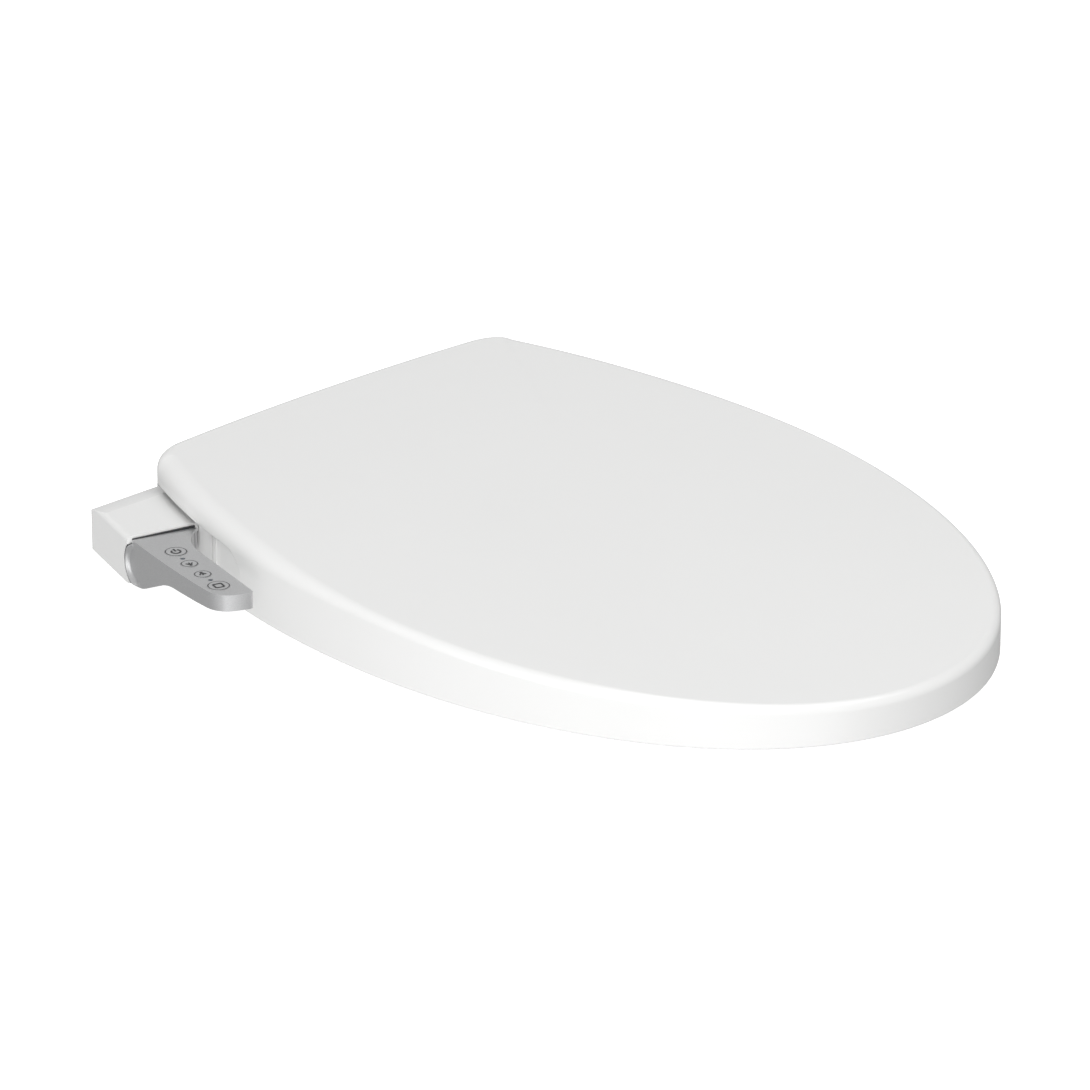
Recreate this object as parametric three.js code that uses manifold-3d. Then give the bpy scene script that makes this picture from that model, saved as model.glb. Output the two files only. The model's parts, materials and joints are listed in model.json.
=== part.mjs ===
// An electric bidet seat: a control base bolted behind the bowl, a heated seat ring and a lid on one hinge
// line, a control arm at the user's right, and two motor-driven washing nozzles.
// Millimetres, +Z up. The origin is on the bowl rim, midway between the two mounting bolts. The front is -Y
// and the control arm is on the -X side.

import * as THREE from "three";
import { mergeVertices } from "three/addons/utils/BufferGeometryUtils.js";
import { ParametricGeometry } from "three/addons/geometries/ParametricGeometry.js";
import Module from "manifold-3d";

const wasm = await Module();
wasm.setup();

// ---- Driving dimensions ----

const GAP = 0.35; // between pieces that touch
const WALL = 2.5; // moulded casing walls

// Lid outline, seen from above
const REAR_Y = 50;
const FRONT_Y = -470;
const WIDEST_Y = -183;
const HALF_WIDTH = 190;
const REAR_HALF_WIDTH = 138;
const SIDE_POWER = 2.08; // how fast the sides spread from the rear
const FRONT_POWER = 2.04; // superellipse of the front
const REAR_BOW = 4;
const REAR_CORNER = 18;

// Lid heights
const LID_EDGE_REAR_Z = 60;
const LID_EDGE_FRONT_Z = 31.5;
const LID_SKIRT_Z = 8;
const LID_ROUNDING = { rear: 8, corner: 12, front: 5.5 }; // widest at the rear corners
const LID_CROWN = 2.5; // rise of the middle
const LID_WALL = 3;
const LID_ARCH_Z = 41; // skirt height over the base
const LID_ARCH_Y = -82; // where the skirt comes down to full depth
const LID_ARCH_RADIUS = 18;

// Seat ring
const SEAT_INSET = 6.5; // inside the lid outline
const SEAT_REAR_Y = -42;
const SEAT_CORNER = 9;
const SEAT_BOTTOM_Z = 9;
const SEAT_UNDER_LID = 8; // seat top below the lid's edge
const SEAT_SHOULDER = 8;
const SEAT_DISH = 5; // how far the inner edge lies below the outer one
const OPENING = { rear: -118, widest: -240, front: -396, halfWidth: 108, power: 2.2 };

// Base casing
const BASE_INSET = 5; // inside the lid outline
const BASE_FRONT_Y = -40;
const BASE_REAR_Y = 47;
const BASE_TOP_Z = 40.5;
const BASE_BOTTOM_Z = 2;
const BASE_SPLIT_Z = 14; // tray below, cover above
const STEP = { halfWidth: 118, frontY: -104, topZ: 29.5 }; // nozzle bay under the seat bridge

// Hinge line, shared by seat and lid
const HINGE_Y = 33;
const HINGE_Z = 49;
const KNUCKLE_RADIUS = 6.5;
const PIN_RADIUS = 3;
const PIN_CLEARANCE = 0.35;
const SWEEP_RADIUS = 20; // groove in the base for the lid's rear wall

// Mounting plate
const PLATE = { halfWidth: 95, halfDepth: 28, height: 5 };
const BOLT_HALF_SPACING = 70;

// Control arm, in its own frame: origin at the middle of its rear edge, -Y towards its tip
const ARM_X = -184.5;
const ARM_Y = -15.4;
const ARM_TURN = THREE.MathUtils.degToRad(-16.3);
const ARM_TOP_Z = 36;
const ARM_BARREL = { y: -9, z: 22, radius: 14 };
const ARM_SPLIT_Z = 30.4;
const ARM_WALL = 2;
const EAR_TOP_Z = 38;
const EAR_REAR_Y = 47.5;
const EAR_BOTTOM_Z = 8;
const BUTTONS = [
  { name: "power_button", x: -3.6, y: -29.3, radius: 6.5 },
  { name: "front_wash_button", x: -3.9, y: -49, radius: 5 },
  { name: "rear_wash_button", x: -3.3, y: -66.5, radius: 5 },
  { name: "stop_button", x: -2, y: -85.9, radius: 6.5 },
];
const LAMPS = [
  { name: "power_lamp", x: -4.2, y: -40.2 },
  { name: "seat_heat_lamp", x: -2.6, y: -76 },
];
const LAMP_RADIUS = 1.2;

// Nozzles, in a frame tilted down to the front: origin at the nozzle tips, +Y back along the nozzles
const NOZZLE_X = 14;
const NOZZLE_Y = -100;
const NOZZLE_Z = 11;
const NOZZLE_TILT = THREE.MathUtils.degToRad(8.5);
const NOZZLE_RADIUS = 6;
const NOZZLE_LENGTH = 112;
const NOZZLE_BORE = 3.5;
const TIP_LENGTH = 14;
const GEAR_MODULE = 1;
const PINION_TEETH = 12;
const PITCH_RADIUS = (GEAR_MODULE * PINION_TEETH) / 2;
const PRESSURE_ANGLE = THREE.MathUtils.degToRad(25);
const ADDENDUM = 0.9;
const DEDENDUM = 1.2;
const BACKLASH = 0.3;
const PITCH_X = 9.5; // rack pitch line, from the nozzle's axis
const PINION_Y = 38;
const TRAVEL = 70;
const FACE_WIDTH = 6;

// ---- Solids ----

function solid(geometry) {
  const bare = geometry.index ? geometry.toNonIndexed() : geometry.clone();
  const points = new THREE.BufferGeometry().setAttribute("position", bare.getAttribute("position"));
  const merged = mergeVertices(points, 1e-4);
  const index = merged.index.array;
  const corners = [];
  for (let i = 0; i < index.length; i += 3) {
    const [a, b, c] = [index[i], index[i + 1], index[i + 2]];
    if (a !== b && b !== c && c !== a) corners.push(a, b, c);
  }
  const vertProperties = merged.getAttribute("position").array;
  const made = new wasm.Manifold(
    new wasm.Mesh({ numProp: 3, vertProperties, triVerts: new Uint32Array(corners) }),
  );
  if (made.volume() > 0) return made;
  const turned = corners.map((_, i) => corners[i - (i % 3) + [0, 2, 1][i % 3]]);
  return new wasm.Manifold(
    new wasm.Mesh({ numProp: 3, vertProperties, triVerts: new Uint32Array(turned) }),
  );
}

function geometryOf(body) {
  const mesh = body.getMesh();
  const geometry = new THREE.BufferGeometry();
  geometry.setAttribute("position", new THREE.BufferAttribute(mesh.vertProperties, 3));
  geometry.setIndex(new THREE.BufferAttribute(mesh.triVerts, 1));
  geometry.computeVertexNormals();
  return geometry;
}

const join = (...bodies) => bodies.reduce((whole, body) => whole.add(body));
const cut = (body, ...tools) => tools.reduce((rest, tool) => rest.subtract(tool), body);

function box(x0, x1, y0, y1, z0, z1) {
  const geometry = new THREE.BoxGeometry(x1 - x0, y1 - y0, z1 - z0);
  return solid(geometry.translate((x0 + x1) / 2, (y0 + y1) / 2, (z0 + z1) / 2));
}

// A cylinder along "x", "y" or "z", from its middle point.
function rod(axis, radius, length, x, y, z, sides = 20) {
  const geometry = new THREE.CylinderGeometry(radius, radius, length, sides);
  if (axis === "x") geometry.rotateZ(Math.PI / 2);
  if (axis === "z") geometry.rotateX(Math.PI / 2);
  return solid(geometry.translate(x, y, z));
}

// An outline in X and Y, given as Vector2 points or a Shape, raised from z0 to z1.
function prism(outline, z0, z1, rounding = 0, fineness = 1) {
  const shape = Array.isArray(outline) ? new THREE.Shape(outline) : outline;
  const geometry = new THREE.ExtrudeGeometry(shape, {
    depth: z1 - z0 - 2 * rounding,
    curveSegments: 4 * fineness,
    bevelEnabled: rounding > 0,
    bevelThickness: rounding,
    bevelSize: rounding,
    bevelOffset: -rounding,
    bevelSegments: 2 * fineness,
  });
  return solid(geometry.translate(0, 0, z0 + rounding));
}

// A profile drawn in Y and Z, drawn out along X from x0 to x1.
function slab(profile, x0, x1, curveSegments = 8) {
  const geometry = new THREE.ExtrudeGeometry(profile, {
    depth: x1 - x0,
    bevelEnabled: false,
    curveSegments,
  });
  const turn = new THREE.Matrix4().makeBasis(
    new THREE.Vector3(0, 1, 0),
    new THREE.Vector3(0, 0, 1),
    new THREE.Vector3(1, 0, 0),
  );
  return solid(geometry.applyMatrix4(turn).translate(x0, 0, 0));
}

function roundedRectangle(x0, x1, y0, y1, radius) {
  const shape = new THREE.Shape();
  shape.moveTo(x0 + radius, y0);
  shape.lineTo(x1 - radius, y0);
  shape.absarc(x1 - radius, y0 + radius, radius, -Math.PI / 2, 0);
  shape.lineTo(x1, y1 - radius);
  shape.absarc(x1 - radius, y1 - radius, radius, 0, Math.PI / 2);
  shape.lineTo(x0 + radius, y1);
  shape.absarc(x0 + radius, y1 - radius, radius, Math.PI / 2, Math.PI);
  shape.lineTo(x0, y0 + radius);
  shape.absarc(x0 + radius, y0 + radius, radius, Math.PI, 1.5 * Math.PI);
  return shape;
}

const block = (x0, x1, y0, y1, z0, z1, radius = 2) =>
  prism(roundedRectangle(x0, x1, y0, y1, radius), z0, z1, Math.min(radius, 1), 0.5);

// A hose along a smooth curve through the given points.
function hose(points, radius) {
  const path = new THREE.CatmullRomCurve3(points.map((p) => new THREE.Vector3(...p)));
  const section = new THREE.Shape().absarc(0, 0, radius, 0, 2 * Math.PI);
  const steps = Math.round(path.getLength() / (4 * radius));
  const options = { steps, curveSegments: 4, extrudePath: path, bevelEnabled: false };
  return solid(new THREE.ExtrudeGeometry(section, options));
}

// A closed skin over rings of equal point counts. A closed stack of rings makes a tube bent on itself.
function skin(rings) {
  const columns = rings[0].length;
  const surface = (u, v, target) => {
    const ring = rings[Math.round(v * (rings.length - 1))];
    target.copy(ring[Math.round(u * columns) % columns]);
  };
  return solid(new ParametricGeometry(surface, columns, rings.length - 1));
}

// ---- Outlines ----

// Half width of the lid outline, from the rear to the widest place.
function halfWidthAt(y) {
  const along = Math.min((REAR_Y - y) / (REAR_Y - WIDEST_Y), 1);
  return REAR_HALF_WIDTH + (HALF_WIDTH - REAR_HALF_WIDTH) * (1 - (1 - along) ** SIDE_POWER);
}

function superellipse(angle, halfWidth, depth, power) {
  const x = halfWidth * Math.cos(angle) ** (2 / power);
  const y = depth * Math.sin(angle) ** (2 / power);
  return new THREE.Vector2(x, y);
}

// The +X side and front of the lid outline, from the given y to the middle of the front.
function sideAndFront(fromY, sidePoints, frontPoints) {
  const points = [];
  for (let i = 0; i < sidePoints; i++) {
    const y = THREE.MathUtils.lerp(fromY, WIDEST_Y, i / sidePoints);
    points.push(new THREE.Vector2(halfWidthAt(y), y));
  }
  for (let i = 0; i <= frontPoints; i++) {
    const p = superellipse((i / frontPoints) * (Math.PI / 2), HALF_WIDTH, WIDEST_Y - FRONT_Y, FRONT_POWER);
    points.push(new THREE.Vector2(i === frontPoints ? 0 : p.x, WIDEST_Y - p.y));
  }
  return points;
}

// A whole loop from its +X half, which starts and ends on the middle line.
function mirrored(half) {
  const back = half
    .slice(1, -1)
    .reverse()
    .map((p) => new THREE.Vector2(-p.x, p.y));
  return half.concat(back);
}

// A clockwise loop moved inwards by a distance or by distance(point), and outwards where that is negative.
function inset(loop, distance) {
  return loop.map((p, i) => {
    const moved = typeof distance === "function" ? distance(p) : distance;
    const before = loop[(i + loop.length - 1) % loop.length];
    const after = loop[(i + 1) % loop.length];
    const along = after.clone().sub(before).normalize();
    return new THREE.Vector2(p.x + along.y * moved, p.y - along.x * moved);
  });
}

// The lid outline drawn from a rear edge at rearY: rear edge, rounded corner, side, front.
function ringOutline(rearY, corner, bow) {
  const half = [];
  const cornerX = halfWidthAt(rearY) - corner;
  const rearAt = (x) => rearY - bow * (x / cornerX) ** 2;
  for (let i = 0; i < 5; i++) half.push(new THREE.Vector2((cornerX * i) / 5, rearAt((cornerX * i) / 5)));
  const sideStart = rearY - corner;
  const bend = new THREE.QuadraticBezierCurve(
    new THREE.Vector2(cornerX, rearAt(cornerX)),
    new THREE.Vector2(halfWidthAt(rearY) - 1, rearY - bow),
    new THREE.Vector2(halfWidthAt(sideStart), sideStart),
  );
  half.push(...bend.getPoints(5).slice(0, -1));
  half.push(...sideAndFront(sideStart, 10, 17));
  return mirrored(half);
}

// The seat's opening, with the same number of points behind and ahead of its widest place.
function openingOutline(rearPoints, frontPoints) {
  const half = [];
  for (let i = 0; i < rearPoints; i++) {
    const angle = (1 - i / rearPoints) * (Math.PI / 2);
    const p = superellipse(angle, OPENING.halfWidth, OPENING.rear - OPENING.widest, OPENING.power);
    half.push(new THREE.Vector2(i === 0 ? 0 : p.x, OPENING.widest + p.y));
  }
  for (let i = 0; i <= frontPoints; i++) {
    const angle = (i / frontPoints) * (Math.PI / 2);
    const p = superellipse(angle, OPENING.halfWidth, OPENING.widest - OPENING.front, OPENING.power);
    half.push(new THREE.Vector2(i === frontPoints ? 0 : p.x, OPENING.widest - p.y));
  }
  return mirrored(half);
}

// The base casing seen from above, with straight front and rear edges.
function baseOutline(distance) {
  const half = [];
  const frontY = BASE_FRONT_Y + distance;
  const rearY = BASE_REAR_Y - distance;
  const steps = 8;
  for (let i = 0; i <= steps; i++) {
    const y = THREE.MathUtils.lerp(rearY, frontY, i / steps);
    half.push(new THREE.Vector2(halfWidthAt(y) - BASE_INSET - 1.08 * distance, y));
  }
  const back = half.map((p) => new THREE.Vector2(-p.x, p.y)).reverse();
  return half.concat(back);
}

const edgeZ = (y) =>
  THREE.MathUtils.mapLinear(y, REAR_Y, FRONT_Y, LID_EDGE_REAR_Z, LID_EDGE_FRONT_Z);

// ---- Materials ----

const plastic = (color, roughness = 0.35) =>
  new THREE.MeshStandardMaterial({ color, roughness, metalness: 0 });
const WHITE = 0xf2f2f0;
const materials = {
  shell: () => plastic(WHITE, 0.25),
  silver: () => new THREE.MeshStandardMaterial({ color: 0xb4b5b6, roughness: 0.35, metalness: 0.6 }),
  button: () => plastic(0xaeb0b1, 0.4),
  lens: () => plastic(0x5f7f9a, 0.1),
  inner: () => plastic(0xd8d8d4, 0.5),
  board: () => plastic(0x1f5a34, 0.6),
  black: () => plastic(0x26272a, 0.6),
  rubber: () => plastic(0xe4e4e0, 0.8),
  steel: () => new THREE.MeshStandardMaterial({ color: 0xbfc1c4, roughness: 0.3, metalness: 1 }),
  brass: () => new THREE.MeshStandardMaterial({ color: 0xb58a4a, roughness: 0.35, metalness: 1 }),
  foil: () => new THREE.MeshStandardMaterial({ color: 0xc8a060, roughness: 0.3, metalness: 0.8 }),
  hose: () => plastic(0xd9dcde, 0.3),
  gear: () => plastic(0xe8e2cf, 0.45),
};

const bidetSeat = new THREE.Group();
const armGroup = new THREE.Group();
armGroup.position.set(ARM_X, ARM_Y, 0);
armGroup.rotation.z = ARM_TURN;
const nozzleGroup = new THREE.Group();
nozzleGroup.position.set(0, NOZZLE_Y, NOZZLE_Z);
nozzleGroup.rotation.x = NOZZLE_TILT;
bidetSeat.add(armGroup, nozzleGroup);

function add(name, body, material, group = bidetSeat) {
  const mesh = new THREE.Mesh(geometryOf(body), materials[material]());
  mesh.name = name;
  group.add(mesh);
  return mesh;
}

// ---- Lid ----

const LID_MIDDLE_Y = (REAR_Y + FRONT_Y) / 2;

// Height of the lid's outer face: a slope from rear to front with a low crown.
function lidTopZ(p) {
  const across = p.x / HALF_WIDTH;
  const along = (p.y - LID_MIDDLE_Y) / (REAR_Y - LID_MIDDLE_Y);
  return edgeZ(p.y) + LID_CROWN * (1 - across ** 2) * (1 - along ** 2);
}

function lidRoundingAt(y) {
  const { lerp, smoothstep } = THREE.MathUtils;
  const ahead = lerp(LID_ROUNDING.corner, LID_ROUNDING.front, smoothstep(-y, 40, 220));
  return lerp(ahead, LID_ROUNDING.rear, smoothstep(y, 28, 44));
}

// Rings from the rim over the outside to the middle, at the given depth inside the outer skin.
function lidRings(outline, depth) {
  const steps = 4;
  const radii = outline.map((p) => lidRoundingAt(p.y));
  const rings = [inset(outline, depth).map((p) => new THREE.Vector3(p.x, p.y, LID_SKIRT_Z))];
  for (let i = 0; i <= steps; i++) {
    const angle = (i / steps) * (Math.PI / 2);
    const loop = inset(outline, (p) => depth + (lidRoundingAt(p.y) - depth) * (1 - Math.cos(angle)));
    const drop = radii.map((radius) => radius - (radius - depth) * Math.sin(angle));
    rings.push(loop.map((p, k) => new THREE.Vector3(p.x, p.y, lidTopZ(p) - drop[k])));
  }
  const top = inset(outline, (p) => lidRoundingAt(p.y));
  const middle = new THREE.Vector2(0, LID_MIDDLE_Y);
  for (const scale of [0.8, 0.5, 0]) {
    const loop = top.map((p) => middle.clone().lerp(p, scale));
    rings.push(loop.map((p) => new THREE.Vector3(p.x, p.y, lidTopZ(p) - depth)));
  }
  return rings;
}

// The space over the base, which the lid's skirt arches across.
function lidArch() {
  const centreY = LID_ARCH_Y + LID_ARCH_RADIUS;
  const centreZ = LID_ARCH_Z - LID_ARCH_RADIUS;
  const profile = new THREE.Shape();
  profile.moveTo(LID_ARCH_Y, -10);
  profile.lineTo(REAR_Y + 20, -10);
  profile.lineTo(REAR_Y + 20, LID_ARCH_Z);
  profile.lineTo(centreY, LID_ARCH_Z);
  profile.absarc(centreY, centreZ, LID_ARCH_RADIUS, Math.PI / 2, Math.PI);
  return slab(profile, -HALF_WIDTH - 10, HALF_WIDTH + 10, 6);
}

const LID_LUG = { from: 119, to: 130 };

function lidLug(side) {
  const [x0, x1] = side > 0 ? [LID_LUG.from, LID_LUG.to] : [-LID_LUG.to, -LID_LUG.from];
  const middle = (x0 + x1) / 2;
  return cut(
    join(
      rod("x", KNUCKLE_RADIUS, x1 - x0, middle, HINGE_Y, HINGE_Z),
      box(x0, x1, HINGE_Y - 6, HINGE_Y + 6, HINGE_Z, edgeZ(HINGE_Y) - 2),
    ),
    rod("x", PIN_RADIUS + PIN_CLEARANCE, x1 - x0 + 2, middle, HINGE_Y, HINGE_Z),
  );
}

const lidOutline = ringOutline(REAR_Y, REAR_CORNER, REAR_BOW);

function lidShell() {
  const outer = lidRings(lidOutline, 0);
  const inner = lidRings(lidOutline, LID_WALL);
  const shell = skin([...outer.reverse(), ...inner]);
  return join(cut(shell, lidArch()), lidLug(1), lidLug(-1));
}

const LID_PADS = [
  { name: "lid_pad_rear_left", x: -120, y: -150 },
  { name: "lid_pad_rear_right", x: 120, y: -150 },
  { name: "lid_pad_front_left", x: -65, y: -425 },
  { name: "lid_pad_front_right", x: 65, y: -425 },
];

// Each pad hangs under the lid and stops just above the seat.
function addLid() {
  add("lid_shell", lidShell(), "shell");
  for (const pad of LID_PADS) {
    const top = lidTopZ(pad) - LID_WALL - 0.7;
    const bottom = seatTopZ(pad.y) + 0.9;
    const body = rod("z", 6, top - bottom, pad.x, pad.y, (top + bottom) / 2, 20);
    add(pad.name, body, "rubber");
  }
}

// ---- Seat ring ----

const SEAT_REAR_POINTS = 20;
const SEAT_FRONT_POINTS = 17;
const seatOutline = inset(ringOutline(SEAT_REAR_Y + SEAT_INSET, SEAT_CORNER, 0), SEAT_INSET);
const seatOpening = openingOutline(SEAT_REAR_POINTS, SEAT_FRONT_POINTS);
const seatTopZ = (y) => edgeZ(y) - SEAT_UNDER_LID;

// A ring through the seat at each distance from its edges: [distance, which edge, height].
function seatRings(stations) {
  return stations.map(([distance, edge, height]) =>
    seatOutline.map((outer, i) => {
      const inner = seatOpening[i];
      const width = outer.distanceTo(inner);
      const share = edge === "outer" ? distance / width : 1 - distance / width;
      const p = outer.clone().lerp(inner, share);
      return new THREE.Vector3(p.x, p.y, height(p));
    }),
  );
}

function shoulder(edge, depth, drop) {
  const stations = [];
  const steps = 3;
  const radius = SEAT_SHOULDER - depth;
  for (let i = 0; i <= steps; i++) {
    const angle = (i / steps) * (Math.PI / 2);
    const distance = depth + radius * (1 - Math.cos(angle));
    stations.push([distance, edge, (p) => seatTopZ(p.y) - drop - SEAT_SHOULDER + radius * Math.sin(angle)]);
  }
  return stations;
}

// The outside of the seat's upper shell, or its inside where depth is the wall.
function seatProfile(depth, bottomZ) {
  const outer = shoulder("outer", depth, 0);
  const inner = shoulder("inner", depth, SEAT_DISH);
  return [
    [depth, "outer", () => bottomZ],
    ...outer,
    ...inner.reverse(),
    [depth, "inner", () => bottomZ],
  ];
}

const SEAT_FLOOR = 2.5;
const BAY = { halfWidth: 121, frontY: -107, roofZ: 31.8 }; // space under the seat bridge for the nozzle bay

const bayBox = (grow) =>
  box(
    -BAY.halfWidth - grow,
    BAY.halfWidth + grow,
    BAY.frontY - grow,
    SEAT_REAR_Y + 20,
    0,
    BAY.roofZ + grow,
  );

const SPOUT = { halfWidth: 27, endY: -117.6, roofZ: 19.5 }; // way out of the bay for the nozzles

const spoutBox = (grow, endY) =>
  box(-SPOUT.halfWidth - grow, SPOUT.halfWidth + grow, endY, BAY.frontY + 1, 0, SPOUT.roofZ + grow);

const SEAT_ARM = { from: 94, to: 117, bottomZ: 42.2, topZ: 49.3 };

function seatArm(side) {
  const [x0, x1] = side > 0 ? [SEAT_ARM.from, SEAT_ARM.to] : [-SEAT_ARM.to, -SEAT_ARM.from];
  const middle = (x0 + x1) / 2;
  return cut(
    join(
      box(x0, x1, SEAT_REAR_Y - 7, HINGE_Y, SEAT_ARM.bottomZ + 0.5, SEAT_ARM.topZ),
      rod("x", KNUCKLE_RADIUS, x1 - x0, middle, HINGE_Y, HINGE_Z),
    ),
    rod("x", PIN_RADIUS + PIN_CLEARANCE, x1 - x0 + 2, middle, HINGE_Y, HINGE_Z),
  );
}

function seatUpperShell() {
  const outside = seatProfile(0, SEAT_BOTTOM_Z);
  const inside = seatProfile(WALL, SEAT_BOTTOM_Z).reverse();
  const rings = seatRings([...outside, ...inside, outside[0]]);
  const openShell = cut(skin(rings), bayBox(0), spoutBox(WALL + GAP, BAY.frontY - 25));
  return join(openShell, seatArm(1), seatArm(-1));
}

// A flat ring that closes the seat from below, with a tunnel over the nozzle bay.
function seatLowerShell() {
  const edge = WALL + GAP;
  const z0 = SEAT_BOTTOM_Z;
  const z1 = SEAT_BOTTOM_Z + SEAT_FLOOR;
  const floor = seatRings([
    [edge, "outer", () => z0],
    [edge, "outer", () => z1],
    [edge, "inner", () => z1],
    [edge, "inner", () => z0],
    [edge, "outer", () => z0],
  ]);
  const rearEdge = SEAT_REAR_Y - edge;
  const tunnel = box(
    -BAY.halfWidth - WALL,
    BAY.halfWidth + WALL,
    BAY.frontY - WALL,
    rearEdge,
    z0,
    BAY.roofZ + WALL,
  );
  const spout = spoutBox(WALL, SPOUT.endY).intersect(box(-60, 60, -130, 0, z0, 60));
  return cut(join(skin(floor), tunnel, spout), bayBox(0), spoutBox(0, BAY.frontY - 25));
}

// A thin foil under the sitting surface, cut off ahead of the nozzle bay.
function seatHeater() {
  const under = (sink) => (p) => seatTopZ(p.y) - SEAT_DISH - WALL - 1.2 - sink;
  const ring = seatRings([
    [16, "outer", under(0)],
    [16, "inner", under(0)],
    [16, "inner", under(0.5)],
    [16, "outer", under(0.5)],
    [16, "outer", under(0)],
  ]);
  return cut(skin(ring), box(-HALF_WIDTH, HALF_WIDTH, BAY.frontY - 12, 0, 0, 80));
}

const SEAT_PADS = [
  { name: "seat_pad_rear_left", x: -145, y: -150 },
  { name: "seat_pad_rear_right", x: 145, y: -150 },
  { name: "seat_pad_front_left", x: -80, y: -410 },
  { name: "seat_pad_front_right", x: 80, y: -410 },
];

function addSeat() {
  add("seat_upper_shell", seatUpperShell(), "shell");
  add("seat_lower_shell", seatLowerShell(), "shell");
  add("seat_heater_foil", seatHeater(), "foil");
  const sensorTop = seatTopZ(-250) - SEAT_DISH - WALL - 2.2;
  add("seat_temperature_sensor", block(146, 156, -256, -244, sensorTop - 4, sensorTop, 1.5), "black");
  add("sitting_sensor", block(-160, -140, -300, -270, sensorTop - 5, sensorTop - 3, 2), "board");
  for (const pad of SEAT_PADS) {
    const radius = 8;
    const body = rod("z", radius, SEAT_BOTTOM_Z - GAP, pad.x, pad.y, (SEAT_BOTTOM_Z - GAP) / 2, 20);
    add(pad.name, body, "rubber");
  }
}

// ---- Base casing ----

const grooveRod = (radius) => rod("x", radius, 2 * HALF_WIDTH, 0, HINGE_Y, HINGE_Z, 48);

// The casing's solid form, with its walls moved inwards by depth.
function baseBody(depth) {
  const step = roundedRectangle(
    -STEP.halfWidth + depth,
    STEP.halfWidth - depth,
    STEP.frontY + depth,
    BASE_FRONT_Y + 10,
    4,
  );
  return cut(
    join(
      prism(baseOutline(depth), BASE_BOTTOM_Z + depth, BASE_TOP_Z - depth),
      prism(step, BASE_BOTTOM_Z + depth, STEP.topZ - depth),
    ),
    grooveRod(SWEEP_RADIUS + depth),
  );
}

const INLET = { y: 16, z: 15, radius: 10 };
const GLAND = { x: -104, z: 15, radius: 6 };
const RELEASE = { y: -14, z: 24 };

function casingHoles() {
  return join(
    rod("x", INLET.radius + GAP, 60, 150, INLET.y, INLET.z),
    rod("y", GLAND.radius + GAP, 30, GLAND.x, BASE_REAR_Y, GLAND.z),
    box(140, 175, RELEASE.y - 8 - GAP, RELEASE.y + 8 + GAP, RELEASE.z - 4 - GAP, RELEASE.z + 4 + GAP),
    box(-26, 26, STEP.frontY - 5, STEP.frontY + WALL + 0.5, 3.5, 19),
  );
}

const TOWER = { from: 70, to: 92, postRearY: 12, postFrontY: -6, topZ: 53 };
const DAMPER = { radius: 4.6, length: 16 };

// A hinge tower stands ahead of the groove and reaches back over it to the hinge line.
function hingeTower(side) {
  const [x0, x1] = side > 0 ? [TOWER.from, TOWER.to] : [-TOWER.to, -TOWER.from];
  const middle = (x0 + x1) / 2;
  const damperX = side * (TOWER.from + DAMPER.length / 2 - 1);
  return cut(
    join(
      box(x0, x1, TOWER.postFrontY, TOWER.postRearY, BASE_TOP_Z - WALL, TOWER.topZ - 0.2),
      box(x0, x1, TOWER.postFrontY, HINGE_Y, HINGE_Z - 4.6, TOWER.topZ - 0.2),
      rod("x", KNUCKLE_RADIUS, x1 - x0, middle, HINGE_Y, HINGE_Z),
    ),
    rod("x", DAMPER.radius + GAP, DAMPER.length + 2, damperX, HINGE_Y, HINGE_Z),
    rod("x", PIN_RADIUS + PIN_CLEARANCE, 60, middle, HINGE_Y, HINGE_Z),
  );
}

function baseUpperCover() {
  const keep = box(-200, 200, -200, 100, BASE_SPLIT_Z + GAP, 80);
  const shell = cut(baseBody(0), baseBody(WALL)).intersect(keep);
  const springSeat = box(121, 124, RELEASE.y - 5, RELEASE.y + 5, RELEASE.z - 5, BASE_TOP_Z - 1);
  return join(cut(shell, casingHoles()), springSeat, hingeTower(1), hingeTower(-1));
}

const PLATE_RECESS = { halfWidth: 97, halfDepth: 30.5, roofZ: 9 };

function recessBox(grow, bottomZ) {
  return box(
    -PLATE_RECESS.halfWidth - grow,
    PLATE_RECESS.halfWidth + grow,
    -PLATE_RECESS.halfDepth - grow,
    PLATE_RECESS.halfDepth + grow,
    bottomZ,
    PLATE_RECESS.roofZ + grow,
  );
}

function baseLowerTray() {
  const keep = box(-200, 200, -200, 100, 0, BASE_SPLIT_Z);
  const shell = cut(baseBody(0), baseBody(WALL)).intersect(keep);
  return cut(join(shell, recessBox(WALL, BASE_BOTTOM_Z)), recessBox(0, -1), casingHoles());
}

function addBase() {
  add("base_upper_cover", baseUpperCover(), "shell");
  add("base_lower_tray", baseLowerTray(), "shell");
  const gland = cut(
    join(
      rod("y", GLAND.radius, 12, GLAND.x, BASE_REAR_Y, GLAND.z),
      rod("y", GLAND.radius + 2.5, 2.5, GLAND.x, BASE_REAR_Y + 2, GLAND.z),
    ),
    rod("y", 3.5, 20, GLAND.x, BASE_REAR_Y, GLAND.z),
  );
  add("cord_gland", gland, "black");
  const release = join(
    block(147, 160, RELEASE.y - 8, RELEASE.y + 8, RELEASE.z - 4, RELEASE.z + 4, 1.5),
    box(136, 148, RELEASE.y - 3, RELEASE.y + 3, RELEASE.z - 2.5, RELEASE.z + 2.5),
  );
  add("release_button", release, "inner");
  add("release_spring", releaseSpring(), "steel");
  for (const side of [1, -1]) {
    const name = side > 0 ? "seat_damper" : "lid_damper";
    const x = side * (TOWER.from + DAMPER.length / 2);
    add(name, rod("x", DAMPER.radius, DAMPER.length, x, HINGE_Y, HINGE_Z), "black");
    const pinFrom = TOWER.from + DAMPER.length + 0.5;
    const pinTo = LID_LUG.to;
    const pin = rod("x", PIN_RADIUS, pinTo - pinFrom, (side * (pinTo + pinFrom)) / 2, HINGE_Y, HINGE_Z);
    add(side > 0 ? "right_hinge_pin" : "left_hinge_pin", pin, "steel");
  }
}

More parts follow.
